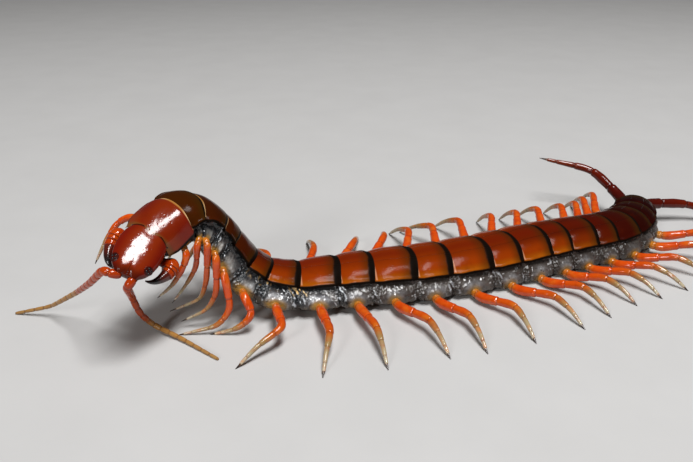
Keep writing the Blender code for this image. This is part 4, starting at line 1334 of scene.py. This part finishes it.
def add_head_plate():
    """The head plate: the upper half of the head's loop, with a thin bead along its rim.

    A median furrow and two lobes shape its front, and its rear edge is drawn in at the middle.
    """
    share = np.linspace(HEAD_PLATE_FROM, 1.0, HEAD_PLATE_ROWS)
    degrees = np.linspace(HEAD_PLATE_DOWN_TO, 180.0 - HEAD_PLATE_DOWN_TO, HEAD_PLATE_COLUMNS)
    share, turn = np.meshgrid(share, np.radians(degrees), indexing="ij")
    places = head_shape(share, turn)
    aside = places[..., 0].copy()
    beside = np.abs(np.cos(turn))
    bead, furrow = (
        height * bell((beside - place) / half)
        for height, place, half in (HEAD_BEAD, HEAD_FURROW)
    )
    furrow = furrow * eased(share, 0.70, 0.98)
    reach, place, half = HEAD_LOBES
    depth, notch_half = HEAD_NOTCH
    lobes = reach * (bell((np.abs(aside) - place) / half) - depth * bell(aside / notch_half))
    rear = HEAD_REAR[0] - HEAD_REAR[1] * (1.0 - beside**2)
    places[..., ::2] *= (1.0 + bead + furrow)[..., None]
    places[..., 1] += lobes * eased(share, 0.80, 1.0) + rear * (1.0 - eased(share, -0.04, 0.14))
    upper = in_head(places)
    inner = places.copy()
    inner[..., 0] *= HEAD_PLATE_INSET
    inner[..., 2] -= HEAD_PLATE_THICKNESS
    marks = {"head_place": marked(share, np.cos(turn))}
    down = in_head(inner) - upper
    thick_sheet("head_plate", upper, down, HEAD_FINISH, ("head",), marks)


def add_jaw_base():
    """The plate that carries the fangs: a boxy loop carried forward, with a furrow below."""
    shares = np.linspace(0.0, 1.0, JAW_BASE_ROWS)[:, None]
    stations, half_width = np.array(JAW_BASE_PROFILE).T
    half = MM * softened(shares[:, 0], stations, half_width, JAW_BASE_SOFTNESS)[:, None]
    turn = turns(JAW_BASE_SIDES)
    thick = 0.5 * (JAW_BASE_TOP - JAW_BASE_BOTTOM)
    across = half * swollen(np.cos(turn), JAW_BASE_POWER)
    height = JAW_BASE_MIDDLE + thick * swollen(np.sin(turn), JAW_BASE_POWER)
    groove = JAW_GROOVE_DEPTH * bell(across / JAW_GROOVE_HALF) * (np.sin(turn) < 0.0)
    forward = 0.5 * GAP + shares * JAW_BASE_LENGTH
    rings = in_head(marked(across, forward, height + groove))
    ahead = head_ahead(5.0 * MM, 6.0 * MM)
    rings = round_ends(rings, None, JAW_BASE_END_REACH * ahead, JAW_BASE_END_RINGS)
    marks = marked(JAW_COLOURS * shares, groove / JAW_GROOVE_DARK)
    marks = with_ends(marks, 0, JAW_BASE_END_RINGS)
    tube("jaw_base", rings, FANG_FINISH, ("jaw_base",), {"leg_place": marks})


def jaw_base_half_width(forward):
    """Half the jaw base's width at a distance forward, straight between its stations."""
    stations, half_width = np.array(JAW_BASE_PROFILE).T
    return MM * np.interp((forward - 0.5 * GAP) / JAW_BASE_LENGTH, stations, half_width)


def add_fang(side):
    """A fang: a stout curved limb of a thigh and two short rings, then a long black claw."""
    root = (jaw_base_half_width(FANG_ROOT_AT) + GAP, FANG_ROOT_AT, JAW_BASE_MIDDLE)
    controls = np.array([root, *(MM * np.array(FANG_CONTROLS))])
    controls[1, 1] = FANG_ROOT_AT
    controls[:, 0] *= side
    shares = np.linspace(0.0, 1.0, FANG_RINGS)
    radii, nearness = jointed(shares, FANG_PROFILE, FANG_JOINTS)
    points, tangents = bezier(in_head(controls), shares)
    rings = carried(points, tangents, radii * MM, FANG_SIDES, head_frame()[3])
    limb = shares <= FANG_CLAW_AT
    body = np.concatenate([rings[:1] - FANG_ROOTED * tangents[0], rings[limb]])
    along, near = (np.concatenate([[0.0], column[limb]]) for column in (shares, nearness))
    name = "forcipule_" + side_name(side)
    marks = {"leg_place": ring_marks(FANG_SIDES, along, near)}
    tube(name, body, FANG_FINISH, (name,), marks)
    claw = shares >= FANG_CLAW_AT - FANG_CLAW_OVERLAP
    reach = FANG_CLAW_END_REACH * tangents[-1]
    claw_rings = round_ends(rings[claw], None, reach, FANG_CLAW_END_RINGS)
    along = with_ends(np.linspace(0.0, 1.0, claw.sum()), 0, FANG_CLAW_END_RINGS)
    marks = {"leg_place": ring_marks(FANG_SIDES, along)}
    tube("fang_claw_" + side_name(side), claw_rings, FANG_CLAW_FINISH, (name,), marks)


def add_eye(side):
    """A low round field of four domes on the head's side; its base lies in the head.

    The field is a disc in the head's tangent plane. It rises to its middle as one less the radius
    squared, and each dome on it is half a ball.
    """
    share = (EYE_PLACE[1] - 0.5 * GAP) / (HEAD_LENGTH - 0.5 * GAP)
    stations, half_width = np.array(HEAD_PROFILE).T[:2]
    half = np.interp(share, stations, half_width) * HEAD_WIDTH
    turn = math.acos((EYE_PLACE[0] / half) ** (1.0 / RIM_POWER))
    step = 0.02
    middle = head_shape(np.array(share), np.array(turn))
    along = unit(head_shape(np.array(share + step), np.array(turn)) - middle)
    round_rim = unit(head_shape(np.array(share), np.array(turn + step)) - middle)
    normal = unit(np.cross(along, round_rim))
    normal *= np.sign(normal[2])
    round_rim = np.cross(normal, along)
    radius = np.linspace(1.0, 0.01, EYE_RINGS)[:, None]
    angle = (2.0 * math.pi * np.arange(EYE_SIDES) / EYE_SIDES)[None, :]
    flat = np.stack([radius * np.cos(angle), radius * np.sin(angle)], axis=-1)
    height = EYE_RISE * (1.0 - radius**2) + EYE_LIFT + 0.0 * angle
    dome = np.zeros_like(height)
    for place in OCELLI:
        distance = np.linalg.norm(flat - place, axis=-1) / OCELLUS_RADIUS
        dome = dome + np.sqrt(np.clip(1.0 - distance**2, 0.0, None))
    rings = (
        middle + (height + OCELLUS_RISE * dome)[..., None] * normal
        + EYE_RADIUS * (flat[..., :1] * along + flat[..., 1:] * round_rim)
    )
    rings = np.concatenate([rings[:1] - EYE_ROOTED * normal, rings])
    rings[..., 0] *= side
    name = "eye_" + side_name(side)
    marks = {"eye_place": with_ends(marked(dome), 1, 0)}
    tube(name, in_head(rings), EYE_FINISH, (name,), marks)


def add_feeler(side):
    """A feeler of tapering articles, each a little barrel, with a pinch before the next.

    A barrel's radius rises with the sine of half a turn; a bell curve makes the pinch.
    """
    outward, up = FEELER_ROOT
    root = in_head(np.array([side * outward, HEAD_LENGTH + GAP, up]))
    forward = head_frame()[2]
    places = MM * np.array(LEFT_FEELER if side > 0 else RIGHT_FEELER)
    places[:, :2] += PLAN_SHIFT
    places = np.concatenate([[root, root + FEELER_STRAIGHT[side] * forward], places])
    shares = np.linspace(0.0, 1.0, FEELER_ARTICLES * ARTICLE_RINGS + 1)
    points, tangents = path_through(places, FEELER_SOFTNESS, shares)
    blend = eased(shares, 0.0, FEELER_BLEND)[:, None]
    leaving = (1.0 - blend) * shares[:, None] * FEELER_LEAVING * forward
    points = root * (1.0 - blend) + points * blend + leaving
    tangents = unit(forward * (1.0 - blend) + tangents * blend)
    step = (shares * FEELER_ARTICLES) % 1.0
    near = bell(np.minimum(step, 1.0 - step) / ARTICLE_RING)
    barrel = 1.0 + ARTICLE_SWELL * np.sin(math.pi * step) - ARTICLE_PINCH * near
    radii = np.interp(shares, (0.0, 1.0), FEELER_RADIUS) * barrel
    rings = above_floor(carried(points, tangents, radii, FEELER_SIDES, np.array([0.0, 1.0, 0.0])))
    rings = np.concatenate([rings[:1] - FEELER_ROOTED * forward, rings])
    rings = round_ends(rings, None, FEELER_END_REACH * tangents[-1], FEELER_END_RINGS)
    along = with_ends(shares, 1, FEELER_END_RINGS)
    near = np.concatenate([[0.0], near, [0.0] * FEELER_END_RINGS])
    name = "antenna_" + side_name(side)
    marks = {"leg_place": ring_marks(FEELER_SIDES, along, near)}
    tube(name, rings, FEELER_FINISH, (name,), marks)


# ---- floor, light and camera


def add_floor():
    """A pale level floor under the animal."""
    finish = Finish("pale_floor", Roughness=0.85)
    grain = finish.noise(60.0, 4.0)
    colour = finish.mix(grain, (0.45, 0.445, 0.44), (0.50, 0.495, 0.49))
    signs = ((-1, -1), (1, -1), (1, 1), (-1, 1))
    corners = [(FLOOR_REACH * x, FLOOR_REACH * y, 0.0) for x, y in signs]
    mesh = bpy.data.meshes.new("floor")
    mesh.from_pydata(corners, [], [(0, 1, 2, 3)])
    mesh.materials.append(finish.done(colour))
    floor = bpy.data.objects.new("floor", mesh)
    bpy.context.scene.collection.objects.link(floor)


def add_light(name, place, along, size, power):
    """An oblong light that faces the animal, its longer side turned along the given direction."""
    light = bpy.data.lights.new(name, "AREA")
    light.shape = "RECTANGLE"
    light.size, light.size_y = size
    light.energy = power
    back = (Vector(place) - Vector(LIT_PLACE)).normalized()
    upper = (Vector(along) - Vector(along).dot(back) * back).normalized()
    lamp = bpy.data.objects.new(name, light)
    lamp.location = place
    lamp.rotation_euler = Matrix((upper.cross(back), upper, back)).transposed().to_euler()
    bpy.context.scene.collection.objects.link(lamp)


def add_camera():
    """The photograph's camera: low in front of the animal's left side."""
    away = Vector((0.0, -math.cos(CAMERA_ELEVATION), math.sin(CAMERA_ELEVATION)))
    camera = bpy.data.cameras.new("photo_camera")
    camera.sensor_width = SENSOR_WIDTH
    camera.lens = FOCAL_LENGTH / PHOTO_WIDTH * SENSOR_WIDTH
    camera.clip_start = CAMERA_NEAREST
    eye = bpy.data.objects.new("photo_camera", camera)
    eye.location = Vector(CAMERA_TARGET) + CAMERA_DISTANCE * away
    eye.rotation_euler = (-away).to_track_quat("-Z", "Y").to_euler()
    bpy.context.scene.collection.objects.link(eye)
    bpy.context.scene.camera = eye


def add_daylight():
    """A bright oblong light high above the neck, a softer one in front on the left, a dim sky."""
    world = bpy.data.worlds.new("soft_daylight")
    world.use_nodes = True
    backdrop = world.node_tree.nodes["Background"]
    backdrop.inputs["Color"].default_value = SKY_COLOUR
    backdrop.inputs["Strength"].default_value = SKY_STRENGTH
    bpy.context.scene.world = world
    for name, place, along, size, power in LIGHTS:
        add_light(name, place, along, size, power)
    bpy.context.scene.view_settings.view_transform = "Standard"


SHIELD_FINISH = plate_finish("neck_shield_shell", 0.40, 2.0)
PLATE_FINISH = plate_finish("back_plate_shell", 0.045, 0.6)
HEAD_FINISH = head_finish()
SKIN_FINISH = skin_finish()
BELLY_FINISH = belly_finish()
LEG_FINISH = leg_finish()
LAST_LEG_FINISH = last_leg_finish()
FEELER_FINISH = feeler_finish()
FANG_FINISH = fang_finish()
CLAW_FINISH = claw_finish("leg_claw_horn", (0.20, 0.10, 0.05), (0.02, 0.008, 0.005))
FANG_CLAW_FINISH = claw_finish("fang_claw_horn", (0.10, 0.010, 0.004), (0.006, 0.004, 0.004))
EYE_FINISH = eye_finish()

add_skin()
for segment in range(1, SEGMENTS + 1):
    add_back_plate(segment)
    add_belly_plate(segment)
for body_side in (1.0, -1.0):
    for segment in range(1, SEGMENTS):
        add_leg(segment, body_side)
    add_last_leg(body_side)
    add_fang(body_side)
    add_eye(body_side)
    add_feeler(body_side)
add_head()
add_head_plate()
add_jaw_base()
add_floor()
add_camera()
add_daylight()
